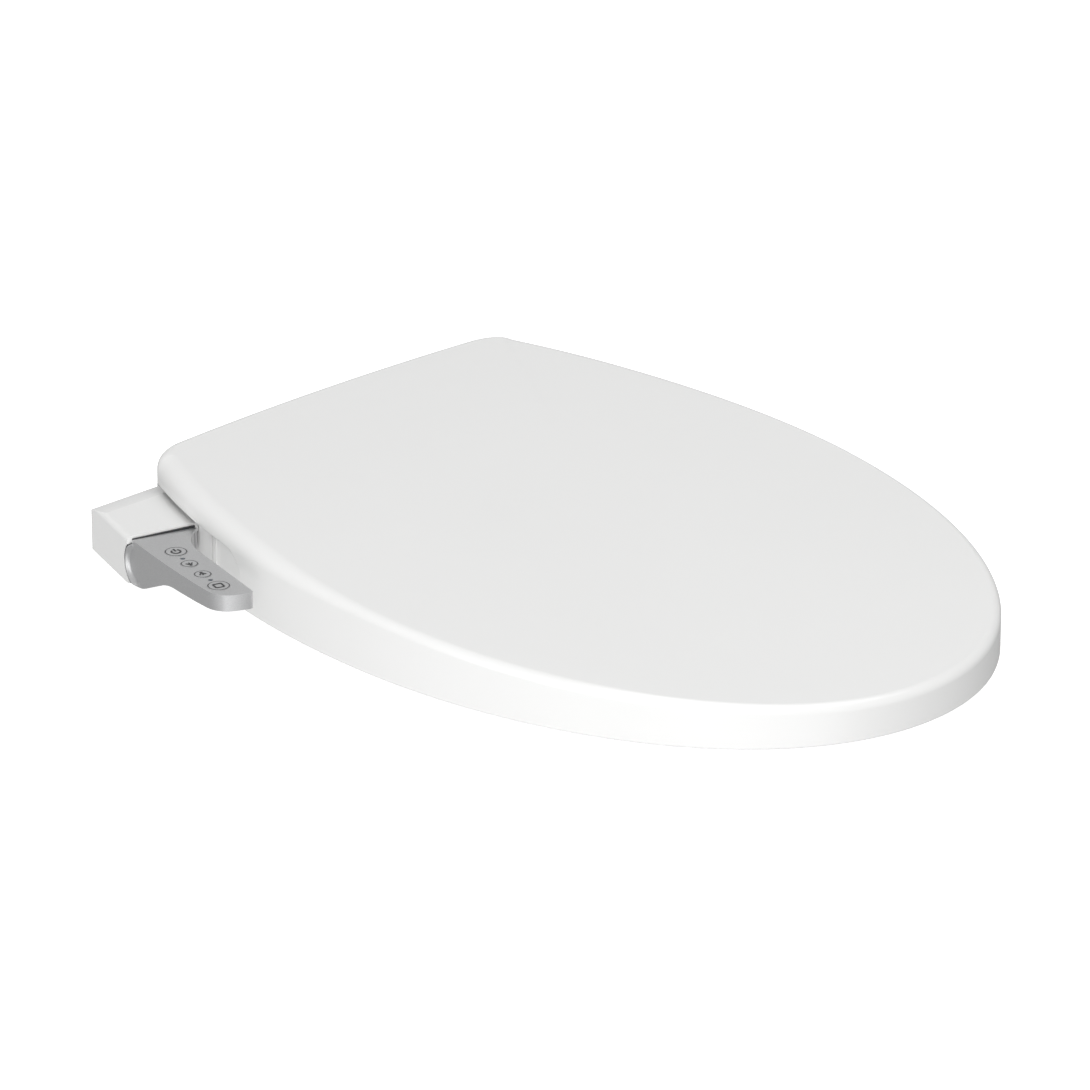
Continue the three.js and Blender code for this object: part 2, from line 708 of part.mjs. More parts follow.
class Helix extends THREE.Curve {
  constructor(radius, pitch, turns) {
    super();
    Object.assign(this, { radius, pitch, turns });
  }
  getPoint(t, target = new THREE.Vector3()) {
    const angle = 2 * Math.PI * this.turns * t;
    return target.set(
      this.pitch * this.turns * t,
      this.radius * Math.cos(angle),
      this.radius * Math.sin(angle),
    );
  }
}

function releaseSpring() {
  const wire = new THREE.Shape().absarc(0, 0, 0.4, 0, 2 * Math.PI);
  const coil = new THREE.ExtrudeGeometry(wire, {
    steps: 40,
    curveSegments: 3,
    extrudePath: new Helix(2.6, 2, 5),
    bevelEnabled: false,
  });
  return solid(coil.translate(124.5, RELEASE.y, RELEASE.z));
}

// ---- Mounting plate ----

function addMounting() {
  const { halfWidth, halfDepth, height } = PLATE;
  const slot = (x) => roundedRectangle(x - 17 - GAP, x + 17 + GAP, -20 - GAP, 20 + GAP, 6);
  const hollow = (x) => prism(slot(x), 1.5, height + 1);
  const through = (x) => prism(roundedRectangle(x - 12, x + 12, -15, 15, 6), -1, height + 1);
  const plate = cut(
    prism(roundedRectangle(-halfWidth, halfWidth, -halfDepth, halfDepth, 6), 0, height),
    ...[-1, 1].flatMap((side) => [hollow(side * BOLT_HALF_SPACING), through(side * BOLT_HALF_SPACING)]),
  );
  add("mounting_plate", plate, "inner");
  for (const side of [1, -1]) {
    const x = side * BOLT_HALF_SPACING;
    const adjuster = cut(
      prism(roundedRectangle(x - 17, x + 17, -20, 20, 5.6), 1.5 + GAP, height - 0.1),
      prism(roundedRectangle(x - 4.2, x + 4.2, -11, 11, 4.1), 0, height + 1),
    );
    add(side > 0 ? "right_bolt_adjuster" : "left_bolt_adjuster", adjuster, "black");
  }
}

// ---- Control arm ----

// The arm's side view in Y and Z: a barrel at the rear and a blade with a hollow underside.
function armProfile(depth) {
  const radius = ARM_BARREL.radius - depth;
  const top = ARM_TOP_Z - depth;
  const profile = new THREE.Shape();
  const rearY = -0.4 - depth;
  const meet = Math.asin((rearY - ARM_BARREL.y) / radius);
  profile.moveTo(rearY, top);
  profile.lineTo(-112, top);
  profile.lineTo(-112, 26.4 + depth);
  profile.bezierCurveTo(-85, 24.6 + depth, -70, 24.4 + depth, -52, 23.9 + depth);
  profile.bezierCurveTo(-36, 23.5 + depth, -19, 8 + depth, ARM_BARREL.y, 8 + depth);
  profile.absarc(ARM_BARREL.y, ARM_BARREL.z, radius, -Math.PI / 2, Math.PI / 2 - meet);
  return profile;
}

// The arm from above: a curved outer edge, a rounded tip, and a hollow inner corner by the base.
function armPlan(depth) {
  const d = depth;
  const plan = new THREE.Shape();
  plan.moveTo(-21.8 + d, 8);
  plan.lineTo(-21.8 + d, -1);
  plan.quadraticCurveTo(-19.7 + d, -2.5, -19.3 + d, -8);
  plan.quadraticCurveTo(-17.4 + d, -48, -11.4 + d, -87);
  plan.quadraticCurveTo(-9.8 + d, -99 + d, -1, -101.9 + d);
  plan.quadraticCurveTo(4, -103.3 + d, 10, -103.4 + d);
  plan.quadraticCurveTo(12.8 - d, -103.6 + d, 12.5 - d, -100);
  plan.lineTo(8.9 - d, -34 - d);
  plan.quadraticCurveTo(8 - d, -15 - d, 22 - d, -2.5 - d);
  plan.lineTo(22 - d, 8);
  return plan;
}

function armBody(depth) {
  return slab(armProfile(depth), -40, 40, 10).intersect(prism(armPlan(depth), 0, 60, 0, 2));
}

const forEachKey = (keys, radius, z0, z1) =>
  keys.map((key) => rod("z", radius(key), z1 - z0, key.x, key.y, (z0 + z1) / 2));

function addArm() {
  const hollow = armBody(ARM_WALL);
  const holes = forEachKey(BUTTONS, (key) => key.radius + 0.3, ARM_SPLIT_Z, 40);
  const lampHoles = forEachKey(LAMPS, () => LAMP_RADIUS + 0.3, ARM_SPLIT_Z, 40);
  const upper = armBody(0).intersect(box(-60, 60, -130, 20, ARM_SPLIT_Z + 0.2, 60));
  const lower = armBody(0).intersect(box(-60, 60, -130, 20, -20, ARM_SPLIT_Z - 0.2));
  const cablePort = rod("y", 3, 30, 6, 5, 20);
  add("arm_upper_shell", cut(upper, hollow, ...holes, ...lampHoles), "silver", armGroup);
  add("arm_lower_shell", cut(lower, hollow, cablePort), "silver", armGroup);

  const boardShape = new THREE.Shape();
  boardShape.moveTo(-14, -20);
  boardShape.lineTo(-8, -90);
  boardShape.lineTo(5, -90);
  boardShape.lineTo(4, -20);
  const boardZ = 29.8;
  add("panel_circuit_board", prism(boardShape, boardZ, boardZ + 1.2), "board", armGroup);
  for (const key of BUTTONS) {
    const flangeZ = ARM_TOP_Z - ARM_WALL - 1.2;
    const button = join(
      rod("z", key.radius, ARM_TOP_Z + 0.25 - flangeZ, key.x, key.y, (ARM_TOP_Z + 0.25 + flangeZ) / 2),
      rod("z", key.radius + 0.8, 0.9, key.x, key.y, flangeZ + 0.45),
    );
    add(key.name, button, "button", armGroup);
  }
  for (const lamp of LAMPS) {
    const low = boardZ + 1.5;
    const high = ARM_TOP_Z + 0.1;
    const body = rod("z", LAMP_RADIUS, high - low, lamp.x, lamp.y, (high + low) / 2, 16);
    add(lamp.name, body, "lens", armGroup);
  }
}

// A geometry drawn in the arm's frame, moved to where the arm is.
function atArm(geometry) {
  return geometry.rotateZ(ARM_TURN).translate(ARM_X, ARM_Y, 0);
}

// The ear's outer side, carried on ahead of its front face.
function earPlan(depth) {
  const rearY = EAR_REAR_Y - depth;
  const plan = new THREE.Shape();
  plan.moveTo(-120, rearY);
  plan.lineTo(-183, rearY);
  plan.quadraticCurveTo(-187.2 + depth, rearY, -188.6 + depth, rearY - 4.5);
  plan.lineTo(-212.5 + depth, -30);
  plan.lineTo(-120, -40);
  return plan;
}

// The ear's back slopes up from its rear edge to its flat top.
function earSlope(depth) {
  const profile = new THREE.Shape();
  profile.moveTo(60, 0);
  profile.lineTo(60, 60);
  profile.lineTo(25, 60);
  profile.lineTo(25, EAR_TOP_Z + 0.1);
  profile.quadraticCurveTo(28, EAR_TOP_Z - depth, 42.5, 34.6 - depth);
  profile.quadraticCurveTo(46.5, 33.4 - depth, EAR_REAR_Y - depth, 29);
  profile.lineTo(EAR_REAR_Y - depth, 0);
  return slab(profile, -230, -100, 5);
}

// The ear's front face lies along the arm's rear edge, then straight across in front of the base.
function earBody(depth) {
  const rounding = depth ? 1 : 3.5;
  const aheadOfArm = new THREE.BoxGeometry(120, 60, 120).translate(0, depth - 30, 0);
  return cut(
    prism(earPlan(depth), EAR_BOTTOM_Z + depth - 5, EAR_TOP_Z - depth, rounding, 2),
    solid(atArm(aheadOfArm)),
    box(-230, -100, -60, -21.5 + depth, -10, 60),
    box(-230, -100, -60, 60, -10, EAR_BOTTOM_Z + depth),
    earSlope(depth),
  );
}

// The ear holds the arm's barrel in a hollow and butts against the base.
function armRootCover() {
  const around = (distance) => {
    const radius = ARM_BARREL.radius + distance;
    const barrel = new THREE.CylinderGeometry(radius, radius, 90, 48).rotateZ(Math.PI / 2);
    return solid(atArm(barrel.translate(0, ARM_BARREL.y, ARM_BARREL.z)));
  };
  const hollow = earBody(WALL);
  const base = prism(baseOutline(-GAP), -5, 60);
  return cut(earBody(0), cut(hollow, around(2.5)), around(0.5), base);
}

// ---- Washing nozzles ----

// Half the angle that a pinion tooth spans at a radius.
function toothHalfAngle(radius) {
  const baseRadius = PITCH_RADIUS * Math.cos(PRESSURE_ANGLE);
  const involute = (angle) => Math.tan(angle) - angle;
  const pressure = Math.acos(Math.min(baseRadius / radius, 1));
  const atPitch = Math.PI / (2 * PINION_TEETH) - BACKLASH / (4 * PITCH_RADIUS);
  return atPitch + involute(PRESSURE_ANGLE) - involute(pressure);
}

// The pinion's outline. Gaps between teeth lie on its X axis, where the rack meets it.
function pinionShape() {
  const steps = [-DEDENDUM, -0.5, 0, 0.45, ADDENDUM];
  const radii = steps.map((height) => PITCH_RADIUS + height);
  const points = [];
  for (let tooth = 0; tooth < PINION_TEETH; tooth++) {
    const middle = (2 * Math.PI * (tooth + 0.5)) / PINION_TEETH;
    for (const r of radii) points.push([r, middle - toothHalfAngle(r)]);
    for (const r of radii.toReversed()) points.push([r, middle + toothHalfAngle(r)]);
  }
  return points.map(([r, a]) => new THREE.Vector2(r * Math.cos(a), r * Math.sin(a)));
}

// The rack's teeth in X and Y, pointing to +X, with a tooth centred where the pinion meets it.
function rackShape(backX) {
  const pitch = Math.PI * GEAR_MODULE;
  const half = (height) => pitch / 4 - BACKLASH / 4 - height * Math.tan(PRESSURE_ANGLE);
  const first = -1;
  const last = Math.ceil(TRAVEL / pitch);
  const points = [new THREE.Vector2(backX, PINION_Y + (first - 0.5) * pitch)];
  for (let i = first; i <= last; i++) {
    const y = PINION_Y + i * pitch;
    points.push(new THREE.Vector2(PITCH_X - DEDENDUM, y - half(-DEDENDUM)));
    points.push(new THREE.Vector2(PITCH_X + ADDENDUM, y - half(ADDENDUM)));
    points.push(new THREE.Vector2(PITCH_X + ADDENDUM, y + half(ADDENDUM)));
    points.push(new THREE.Vector2(PITCH_X - DEDENDUM, y + half(-DEDENDUM)));
  }
  points.push(new THREE.Vector2(backX, PINION_Y + (last + 0.5) * pitch));
  return points;
}

// A nozzle about its own axis, with its rack on the +X side.
function nozzleTube() {
  const middle = (NOZZLE_LENGTH + TIP_LENGTH) / 2;
  const length = NOZZLE_LENGTH - TIP_LENGTH;
  const tube = join(
    rod("y", NOZZLE_RADIUS, length, 0, middle, 0),
    prism(rackShape(NOZZLE_RADIUS - 1.5), -FACE_WIDTH / 2, FACE_WIDTH / 2),
  );
  return cut(tube, rod("y", NOZZLE_BORE, length + 4, 0, middle, 0));
}

// The washing end: a rounded nose, a spigot into the tube and a spray hole on top.
function nozzleTip() {
  const end = TIP_LENGTH - GAP;
  const nose = 4;
  const points = [new THREE.Vector2(0, 0)];
  for (let i = 0; i <= 4; i++) {
    const angle = (i / 4) * (Math.PI / 2);
    const radius = NOZZLE_RADIUS - nose * (1 - Math.sin(angle));
    points.push(new THREE.Vector2(radius, nose * (1 - Math.cos(angle))));
  }
  points.push(new THREE.Vector2(NOZZLE_RADIUS, end));
  points.push(new THREE.Vector2(NOZZLE_BORE - 0.3, end));
  points.push(new THREE.Vector2(NOZZLE_BORE - 0.3, end + 6));
  points.push(new THREE.Vector2(0, end + 6));
  const body = solid(new THREE.LatheGeometry(points, 20));
  const sprayFace = box(-3, 3, 4, 11, NOZZLE_RADIUS - 0.9, NOZZLE_RADIUS + 1);
  const sprayHole = rod("z", 0.9, 8, 0, 7.5, NOZZLE_RADIUS);
  return cut(body, sprayFace, sprayHole);
}

const PINION_BORE_DEPTH = 3;
const MOTOR = { radius: 10, topZ: -4.2, bottomZ: -10.6 };

// The pinion on its motor's shaft.
function pinion() {
  const low = MOTOR.topZ - PINION_BORE_DEPTH;
  const high = FACE_WIDTH / 2 + 1;
  return join(
    prism(pinionShape(), -FACE_WIDTH / 2, FACE_WIDTH / 2),
    rod("z", 1.5, high - low, 0, 0, (high + low) / 2, 16),
  );
}

function nozzleMotor() {
  const height = MOTOR.topZ - MOTOR.bottomZ;
  const middle = (MOTOR.topZ + MOTOR.bottomZ) / 2;
  const can = rod("z", MOTOR.radius, height, 0, 0, middle, 32);
  return cut(can, rod("z", 1.9, 2 * PINION_BORE_DEPTH + 0.6, 0, 0, MOTOR.topZ, 16));
}

// Two mirrored sets, each with a nozzle, its tip, a pinion and a motor.
function addNozzles() {
  for (const side of [1, -1]) {
    const name = side > 0 ? "front_nozzle" : "rear_nozzle";
    const place = (mesh, x, y) => {
      mesh.position.set(side * x, y, 0);
      if (side < 0) mesh.scale.x = -1;
    };
    place(add(name, nozzleTube(), "inner", nozzleGroup), NOZZLE_X, 0);
    place(add(name + "_tip", nozzleTip(), "steel", nozzleGroup), NOZZLE_X, 0);
    const pinionX = NOZZLE_X + PITCH_X + PITCH_RADIUS;
    place(add(name + "_pinion", pinion(), "gear", nozzleGroup), pinionX, PINION_Y);
    place(add(name + "_motor", nozzleMotor(), "black", nozzleGroup), pinionX, PINION_Y);
  }
  add("nozzle_cradle", nozzleCradle(), "inner", nozzleGroup);
  add("nozzle_manifold", nozzleManifold(), "inner", nozzleGroup);
  add("nozzle_guard", nozzleGuard(), "shell");
}

// The manifold behind the nozzles: a fixed feed tube runs into each nozzle's bore.
function nozzleManifold() {
  const rear = NOZZLE_LENGTH + 1;
  const tube = (side) => rod("y", NOZZLE_BORE - 0.5, rear - 24, side * NOZZLE_X, (rear + 24) / 2, 0, 20);
  return join(box(-21, 21, rear - 0.5, rear + 7, -6, 2), tube(1), tube(-1));
}

// A trough under both nozzles, with a rib between them.
function nozzleCradle() {
  const low = -NOZZLE_RADIUS - 0.5;
  const rib = NOZZLE_X - NOZZLE_RADIUS - 0.5;
  return join(
    box(-19, 19, 12, NOZZLE_LENGTH - 4, low - 1.5, low),
    box(-rib, rib, 12, NOZZLE_LENGTH - 4, low - 0.5, 2),
  );
}

const GUARD_Z = 13;

// The bezel that the nozzles come out through.
function nozzleGuard() {
  const guard = prism(roundedRectangle(-28, 28, -11, 11, 4), 0, 2.2);
  const holes = [-1, 1].map((side) => {
    const shape = new THREE.CylinderGeometry(NOZZLE_RADIUS + 1.6, NOZZLE_RADIUS + 1.6, 20, 24);
    const holeY = NOZZLE_Z - 0.6 - GUARD_Z;
    shape.rotateX(Math.PI / 2).translate(side * NOZZLE_X, holeY, 0);
    const rackReach = side * (NOZZLE_X + PITCH_X + ADDENDUM + 0.6);
    const [x0, x1] = [side * NOZZLE_X, rackReach].sort((a, b) => a - b);
    return join(solid(shape), box(x0, x1, holeY - 4.4, holeY + 4.4, -5, 5));
  });
  const geometry = geometryOf(cut(guard, ...holes));
  geometry.rotateX(Math.PI / 2).translate(0, STEP.frontY - GAP, GUARD_Z);
  return solid(geometry);
}

// ---- Electrics and water parts inside the base ----

function addElectrics() {
  const boardZ = 13;
  const parts = [
    [-112, -96, 4, 18, 12],
    [-90, -78, -26, -14, 17],
    [-74, -58, 8, 24, 8],
    [-74, -60, -20, -4, 12],
  ];
  const board = join(
    box(-116, -50, -32, 34, boardZ, boardZ + 1.6),
    ...parts.map(([x0, x1, y0, y1, height]) => box(x0, x1, y0, y1, boardZ + 1, boardZ + 1.6 + height)),
  );
  add("main_circuit_board", board, "board");
  add("power_supply", block(-146, -120, -34, 4, 6, 34, 2), "black");
}

const HOSES = {
  inlet_hose: [[111, 6.6, 18], [111, 3, 18], [110.5, -4, 18.8], [110.5, -8.6, 18.8]],
  heater_hose: [[66, -8.6, 17], [66, -5, 17], [66, -1, 18], [66, 1.6, 18]],
  front_wash_hose: [[51.6, 7, 16], [46, 7, 16.5], [34, 10, 20], [30, 17, 24], [22.5, 21.5, 27]],
  rear_wash_hose: [[51.6, 20, 16], [44, 20, 16.3], [34, 22, 18], [26, 24, 20.5], [22.5, 26, 21.5]],
};

function addWater() {
  const fitting = join(
    rod("x", INLET.radius - 1.5, 30, 158 - 15, INLET.y, INLET.z),
    rod("x", INLET.radius - 0.4, 5, 150.5, INLET.y, INLET.z, 6),
    rod("x", INLET.radius - 0.5, 14, 161, INLET.y, INLET.z),
  );
  add("water_inlet_fitting", cut(fitting, rod("x", 6, 60, 150, INLET.y, INLET.z)), "brass");
  const filter = cut(
    rod("x", 5.6, 14, 160, INLET.y, INLET.z),
    rod("x", 4.4, 14, 163, INLET.y, INLET.z),
  );
  add("inlet_filter", filter, "inner");
  add("inlet_valve", join(
    block(102, 127.5, INLET.y - 9, INLET.y + 9, 8, 24, 3),
    rod("z", 6, 6, 112, INLET.y - 3, 26),
  ), "inner");
  add("water_heater", block(56, 117, -34, -9, 12.5, 36, 3), "inner");
  add("diverter_valve", block(52, 78, 2, 26, 12.5, 24, 3), "inner");
  add("diverter_motor", rod("z", 7.5, 7, 65, 8, 28), "black");
  for (const [name, points] of Object.entries(HOSES)) add(name, hose(points, 2.4), "hose");
}

addLid();
addSeat();
addBase();
addMounting();
addArm();
add("arm_root_cover", armRootCover(), "shell");
addNozzles();
addElectrics();
addWater();

export default bidetSeat;
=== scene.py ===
# The looks of an electric bidet seat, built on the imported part. Outlines are worked out in millimetres in the
# part's own frame and turned into metres when a mesh is made.

import json
import math

import bmesh
import bpy
import numpy as np
from mathutils import Matrix, Vector


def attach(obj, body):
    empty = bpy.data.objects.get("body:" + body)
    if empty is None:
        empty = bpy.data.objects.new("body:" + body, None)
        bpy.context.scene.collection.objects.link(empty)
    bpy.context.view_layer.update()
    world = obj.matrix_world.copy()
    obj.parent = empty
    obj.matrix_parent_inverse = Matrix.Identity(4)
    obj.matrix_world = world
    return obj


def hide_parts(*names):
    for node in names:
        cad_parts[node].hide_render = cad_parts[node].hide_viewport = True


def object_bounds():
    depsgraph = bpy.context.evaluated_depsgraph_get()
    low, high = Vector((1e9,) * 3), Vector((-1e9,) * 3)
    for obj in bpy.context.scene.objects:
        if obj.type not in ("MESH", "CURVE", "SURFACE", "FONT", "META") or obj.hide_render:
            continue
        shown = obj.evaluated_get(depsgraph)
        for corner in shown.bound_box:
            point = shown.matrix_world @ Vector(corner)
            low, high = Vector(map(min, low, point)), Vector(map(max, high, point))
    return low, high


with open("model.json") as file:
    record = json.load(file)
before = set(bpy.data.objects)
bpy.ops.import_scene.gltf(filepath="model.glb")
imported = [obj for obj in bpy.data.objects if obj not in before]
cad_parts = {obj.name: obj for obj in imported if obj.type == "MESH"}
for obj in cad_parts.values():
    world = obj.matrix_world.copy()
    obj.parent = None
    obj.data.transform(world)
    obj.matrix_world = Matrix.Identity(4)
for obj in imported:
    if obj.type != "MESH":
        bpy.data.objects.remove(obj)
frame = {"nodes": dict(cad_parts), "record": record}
cad_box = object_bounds()
MM = 0.001

# ---- Sizes in millimetres, the same as the part's unless a comment says otherwise ----

REAR_Y, FRONT_Y, WIDEST_Y = 50.0, -470.0, -183.0
HALF_WIDTH, REAR_HALF_WIDTH = 190.0, 138.0
SIDE_POWER, FRONT_POWER = 2.08, 2.04
REAR_BOW, REAR_CORNER = 4.0, 18.0
EDGE_REAR_Z, EDGE_FRONT_Z = 60.0, 31.5
SKIRT_Z, LID_CROWN, LID_WALL = 8.0, 2.5, 3.0
ROUNDING_REAR, ROUNDING_CORNER, ROUNDING_FRONT = 8.0, 12.0, 5.5
ARCH_Z, ARCH_Y, ARCH_RADIUS = 41.0, -82.0, 18.0

SEAT_INSET, SEAT_REAR_Y, SEAT_BOTTOM_Z = 6.5, -42.0, 9.0
SEAT_CORNER = 3.0  # tighter than the part's, for a narrow gap between seat and base
SEAT_UNDER_LID, SEAT_SHOULDER, SEAT_DISH, SEAT_WALL = 8.0, 8.0, 5.0, 2.5
OPENING = {"rear": -118.0, "widest": -240.0, "front": -396.0, "half": 108.0, "power": 2.2}

NOZZLE_BAY = (-121, 121, -107, -22, 0, 31.8)
NOZZLE_SPOUT = (-29.85, 29.85, -132, -106, 0, 22.35)

HINGE_Y, HINGE_Z, KNUCKLE, PIN_HOLE = 33.0, 49.0, 6.5, 3.35
LID_LUGS, LUG_WIDTH = {"right_lid_lug": 119.0, "left_lid_lug": -130.0}, 11.0
SEAT_ARMS, SEAT_ARM_WIDTH = {"right_seat_arm": 94.0, "left_seat_arm": -117.0}, 23.0
SEAT_ARM_TOP_Z, SEAT_ARM_LOW_Z, SEAT_ARM_FRONT_Y = 49.3, 42.7, -49.0

ARM_X, ARM_Y, ARM_TURN = -184.5, -15.4, math.radians(-16.3)
ARM_TOP_Z, ARM_WALL = 36.0, 2.0
ARM_FRONT_Y = -112.0
BARREL_Y, BARREL_Z, BARREL_RADIUS = -9.0, 22.0, 14.0
BARREL_SKIN = BARREL_RADIUS - 0.3
BUTTONS = {
    "power_button": (-3.6, -29.3, 6.5),
    "front_wash_button": (-3.9, -49.0, 5.0),
    "rear_wash_button": (-3.3, -66.5, 5.0),
    "stop_button": (-2.0, -85.9, 6.5),
}
BUTTON_TOP_Z = ARM_TOP_Z + 0.25
LAMPS = {"power_lamp": (-4.2, -40.2), "seat_heat_lamp": (-2.6, -76.0)}
LAMP_RADIUS = 1.2


# ---- Materials ----


class Nodes:
    """A short way to write a node tree."""

    def __init__(self, name):
        self.material = bpy.data.materials.new(name)
        self.material.use_nodes = True
        self.tree = self.material.node_tree
        self.shader = self.tree.nodes["Principled BSDF"]
        self.place = self.add("ShaderNodeTexCoord").outputs["Object"]

    def add(self, kind, **settings):
        node = self.tree.nodes.new(kind)
        for key, value in settings.items():
            setattr(node, key, value)
        return node

    def link(self, source, target):
        self.tree.links.new(source, target)

    def set(self, **values):
        for key, value in values.items():
            self.shader.inputs[key.replace("_", " ")].default_value = value

    def noise(self, scale, detail=2.0, stretch=None):
        node = self.add("ShaderNodeTexNoise")
        node.inputs["Scale"].default_value = scale
        node.inputs["Detail"].default_value = detail
        self.link(self.stretched(stretch), node.inputs["Vector"])
        return node.outputs["Fac"]

    def stretched(self, stretch):
        if stretch is None:
            return self.place
        mapping = self.add("ShaderNodeMapping")
        mapping.inputs["Scale"].default_value = stretch
        self.link(self.place, mapping.inputs["Vector"])
        return mapping.outputs["Vector"]

    def shades(self, factor, dark, light, low=0.3, high=0.7):
        ramp = self.add("ShaderNodeValToRGB")
        ramp.color_ramp.elements[0].position = low
        ramp.color_ramp.elements[1].position = high
        ramp.color_ramp.elements[0].color = (*dark, 1)
        ramp.color_ramp.elements[1].color = (*light, 1)
        self.link(factor, ramp.inputs["Fac"])
        return ramp.outputs["Color"]

    def ranged(self, factor, low, high):
        node = self.add("ShaderNodeMapRange")
        node.inputs["From Min"].default_value = 0.3
        node.inputs["From Max"].default_value = 0.7
        node.inputs["To Min"].default_value = low
        node.inputs["To Max"].default_value = high
        self.link(factor, node.inputs["Value"])
        return node.outputs["Result"]

    def bump(self, height, strength, distance):
        node = self.add("ShaderNodeBump")
        node.inputs["Strength"].default_value = strength
        node.inputs["Distance"].default_value = distance
        self.link(height, node.inputs["Height"])
        self.link(node.outputs["Normal"], self.shader.inputs["Normal"])


def tint(colour, factor):
    return tuple(min(1.0, c * factor) for c in colour)


def moulded(name, colour, roughness, variation=0.02, peel=0.03, grain=900.0, **settings):
    """Moulded plastic: faint flow shading, uneven gloss and a fine surface texture."""
    n = Nodes(name)
    shade = n.shades(n.noise(6.0, 3.0), tint(colour, 1 - variation), tint(colour, 1 + variation))
    n.link(shade, n.shader.inputs["Base Color"])
    n.link(n.ranged(n.noise(35.0, 4.0), roughness * 0.88, roughness * 1.12), n.shader.inputs["Roughness"])
    n.bump(n.noise(grain, 2.0), peel, 0.0002)
    n.set(**settings)
    return n.material


def metallic_paint():
    """Silver paint: fine flakes that change its shade and tilt a little from one to the next."""
    n = Nodes("silver_paint")
    flakes = n.add("ShaderNodeTexVoronoi", feature="F1")
    flakes.inputs["Scale"].default_value = 3500.0
    n.link(n.place, flakes.inputs["Vector"])
    one = n.add("ShaderNodeSeparateColor")
    n.link(flakes.outputs["Color"], one.inputs["Color"])
    paint = n.shades(one.outputs["Red"], (0.50, 0.503, 0.508), (0.585, 0.588, 0.593), 0.0, 1.0)
    n.link(paint, n.shader.inputs["Base Color"])
    n.link(n.ranged(n.noise(60.0, 3.0), 0.34, 0.40), n.shader.inputs["Roughness"])
    n.bump(flakes.outputs["Distance"], 0.04, 0.0001)
    n.set(Metallic=0.8, Coat_Weight=0.5, Coat_Roughness=0.08)
    return n.material


def brushed(name, colour, roughness, stretch):
    """Metal with fine lines along one direction."""
    n = Nodes(name)
    lines = n.noise(60.0, 6.0, stretch)
    n.link(n.shades(lines, tint(colour, 0.88), tint(colour, 1.08)), n.shader.inputs["Base Color"])
    n.link(n.ranged(lines, roughness * 0.8, roughness * 1.3), n.shader.inputs["Roughness"])
    n.bump(lines, 0.08, 0.0001)
    n.set(Metallic=1.0)
    return n.material


def circuit_board():
    """Green solder mask with lighter tracks under it and small tinned pads."""
    n = Nodes("circuit_board")
    tracks = n.add("ShaderNodeTexBrick", offset=0.35)
    tracks.inputs["Scale"].default_value = 140.0
    tracks.inputs["Mortar Size"].default_value = 0.06
    tracks.inputs["Color1"].default_value = (0.012, 0.10, 0.035, 1)
    tracks.inputs["Color2"].default_value = (0.010, 0.085, 0.03, 1)
    tracks.inputs["Mortar"].default_value = (0.03, 0.19, 0.07, 1)
    n.link(n.place, tracks.inputs["Vector"])
    pads = n.add("ShaderNodeTexVoronoi", feature="F1")
    pads.inputs["Scale"].default_value = 260.0
    n.link(n.place, pads.inputs["Vector"])
    where = n.add("ShaderNodeMath", operation="LESS_THAN")
    where.inputs[1].default_value = 0.16
    n.link(pads.outputs["Distance"], where.inputs[0])
    mix = n.add("ShaderNodeMix", data_type="RGBA")
    mix.inputs["B"].default_value = (0.62, 0.62, 0.6, 1)
    n.link(where.outputs["Value"], mix.inputs["Factor"])
    n.link(tracks.outputs["Color"], mix.inputs["A"])
    n.link(mix.outputs["Result"], n.shader.inputs["Base Color"])
    n.link(where.outputs["Value"], n.shader.inputs["Metallic"])
    n.set(Roughness=0.35)
    n.bump(tracks.outputs["Fac"], 0.2, 0.0001)
    return n.material


def heating_foil():
    """Amber film with bright etched heating tracks across it."""
    n = Nodes("heating_foil")
    bands = n.add("ShaderNodeTexWave", wave_type="BANDS", bands_direction="Y")
    bands.inputs["Scale"].default_value = 40.0
    bands.inputs["Distortion"].default_value = 0.6
    n.link(n.place, bands.inputs["Vector"])
    track = n.shades(bands.outputs["Fac"], (0.50, 0.24, 0.06), (0.75, 0.52, 0.30), 0.45, 0.55)
    n.link(track, n.shader.inputs["Base Color"])
    n.link(n.ranged(bands.outputs["Fac"], 0.0, 0.9), n.shader.inputs["Metallic"])
    n.link(n.ranged(n.noise(80.0), 0.25, 0.4), n.shader.inputs["Roughness"])
    return n.material


WHITE = (0.725, 0.725, 0.720)
MATERIALS = {
    "shell": moulded("white_shell", WHITE, 0.24, 0.006, 0.015, 700.0, Coat_Weight=0.35, Coat_Roughness=0.08),
    "silver": metallic_paint(),
    "button": moulded("button_cap", (0.43, 0.433, 0.437), 0.36, 0.03, 0.03, 1500.0, Metallic=0.35),
    "lens": moulded(
        "lamp_lens", (0.035, 0.05, 0.07), 0.12, 0.05, 0.0, 400.0, Coat_Weight=1.0, Coat_Roughness=0.03
    ),
    "inner": moulded("natural_nylon", (0.66, 0.655, 0.63), 0.5, 0.03, 0.08, 500.0),
    "board": circuit_board(),
    "black": moulded("black_plastic", (0.022, 0.023, 0.025), 0.5, 0.1, 0.12, 1200.0),
    "rubber": moulded("white_rubber", (0.58, 0.58, 0.56), 0.75, 0.03, 0.15, 600.0),
    "steel": brushed("stainless_steel", (0.62, 0.63, 0.64), 0.24, (1.0, 12.0, 12.0)),
    "brass": brushed("plated_brass", (0.62, 0.46, 0.22), 0.28, (1.0, 8.0, 8.0)),
    "foil": heating_foil(),
    "hose": moulded("silicone_hose", (0.62, 0.64, 0.66), 0.3, 0.03, 0.02, 300.0, Transmission_Weight=0.25),
    "gear": moulded("acetal_gear", (0.68, 0.66, 0.56), 0.42, 0.02, 0.04, 900.0),
}
ICON_INK = moulded("icon_ink", (0.035, 0.036, 0.038), 0.45, 0.1, 0.02, 2500.0)
SLOT_OF = {row["node"]: row["material_slot"] for row in frame["record"]["subparts"]}
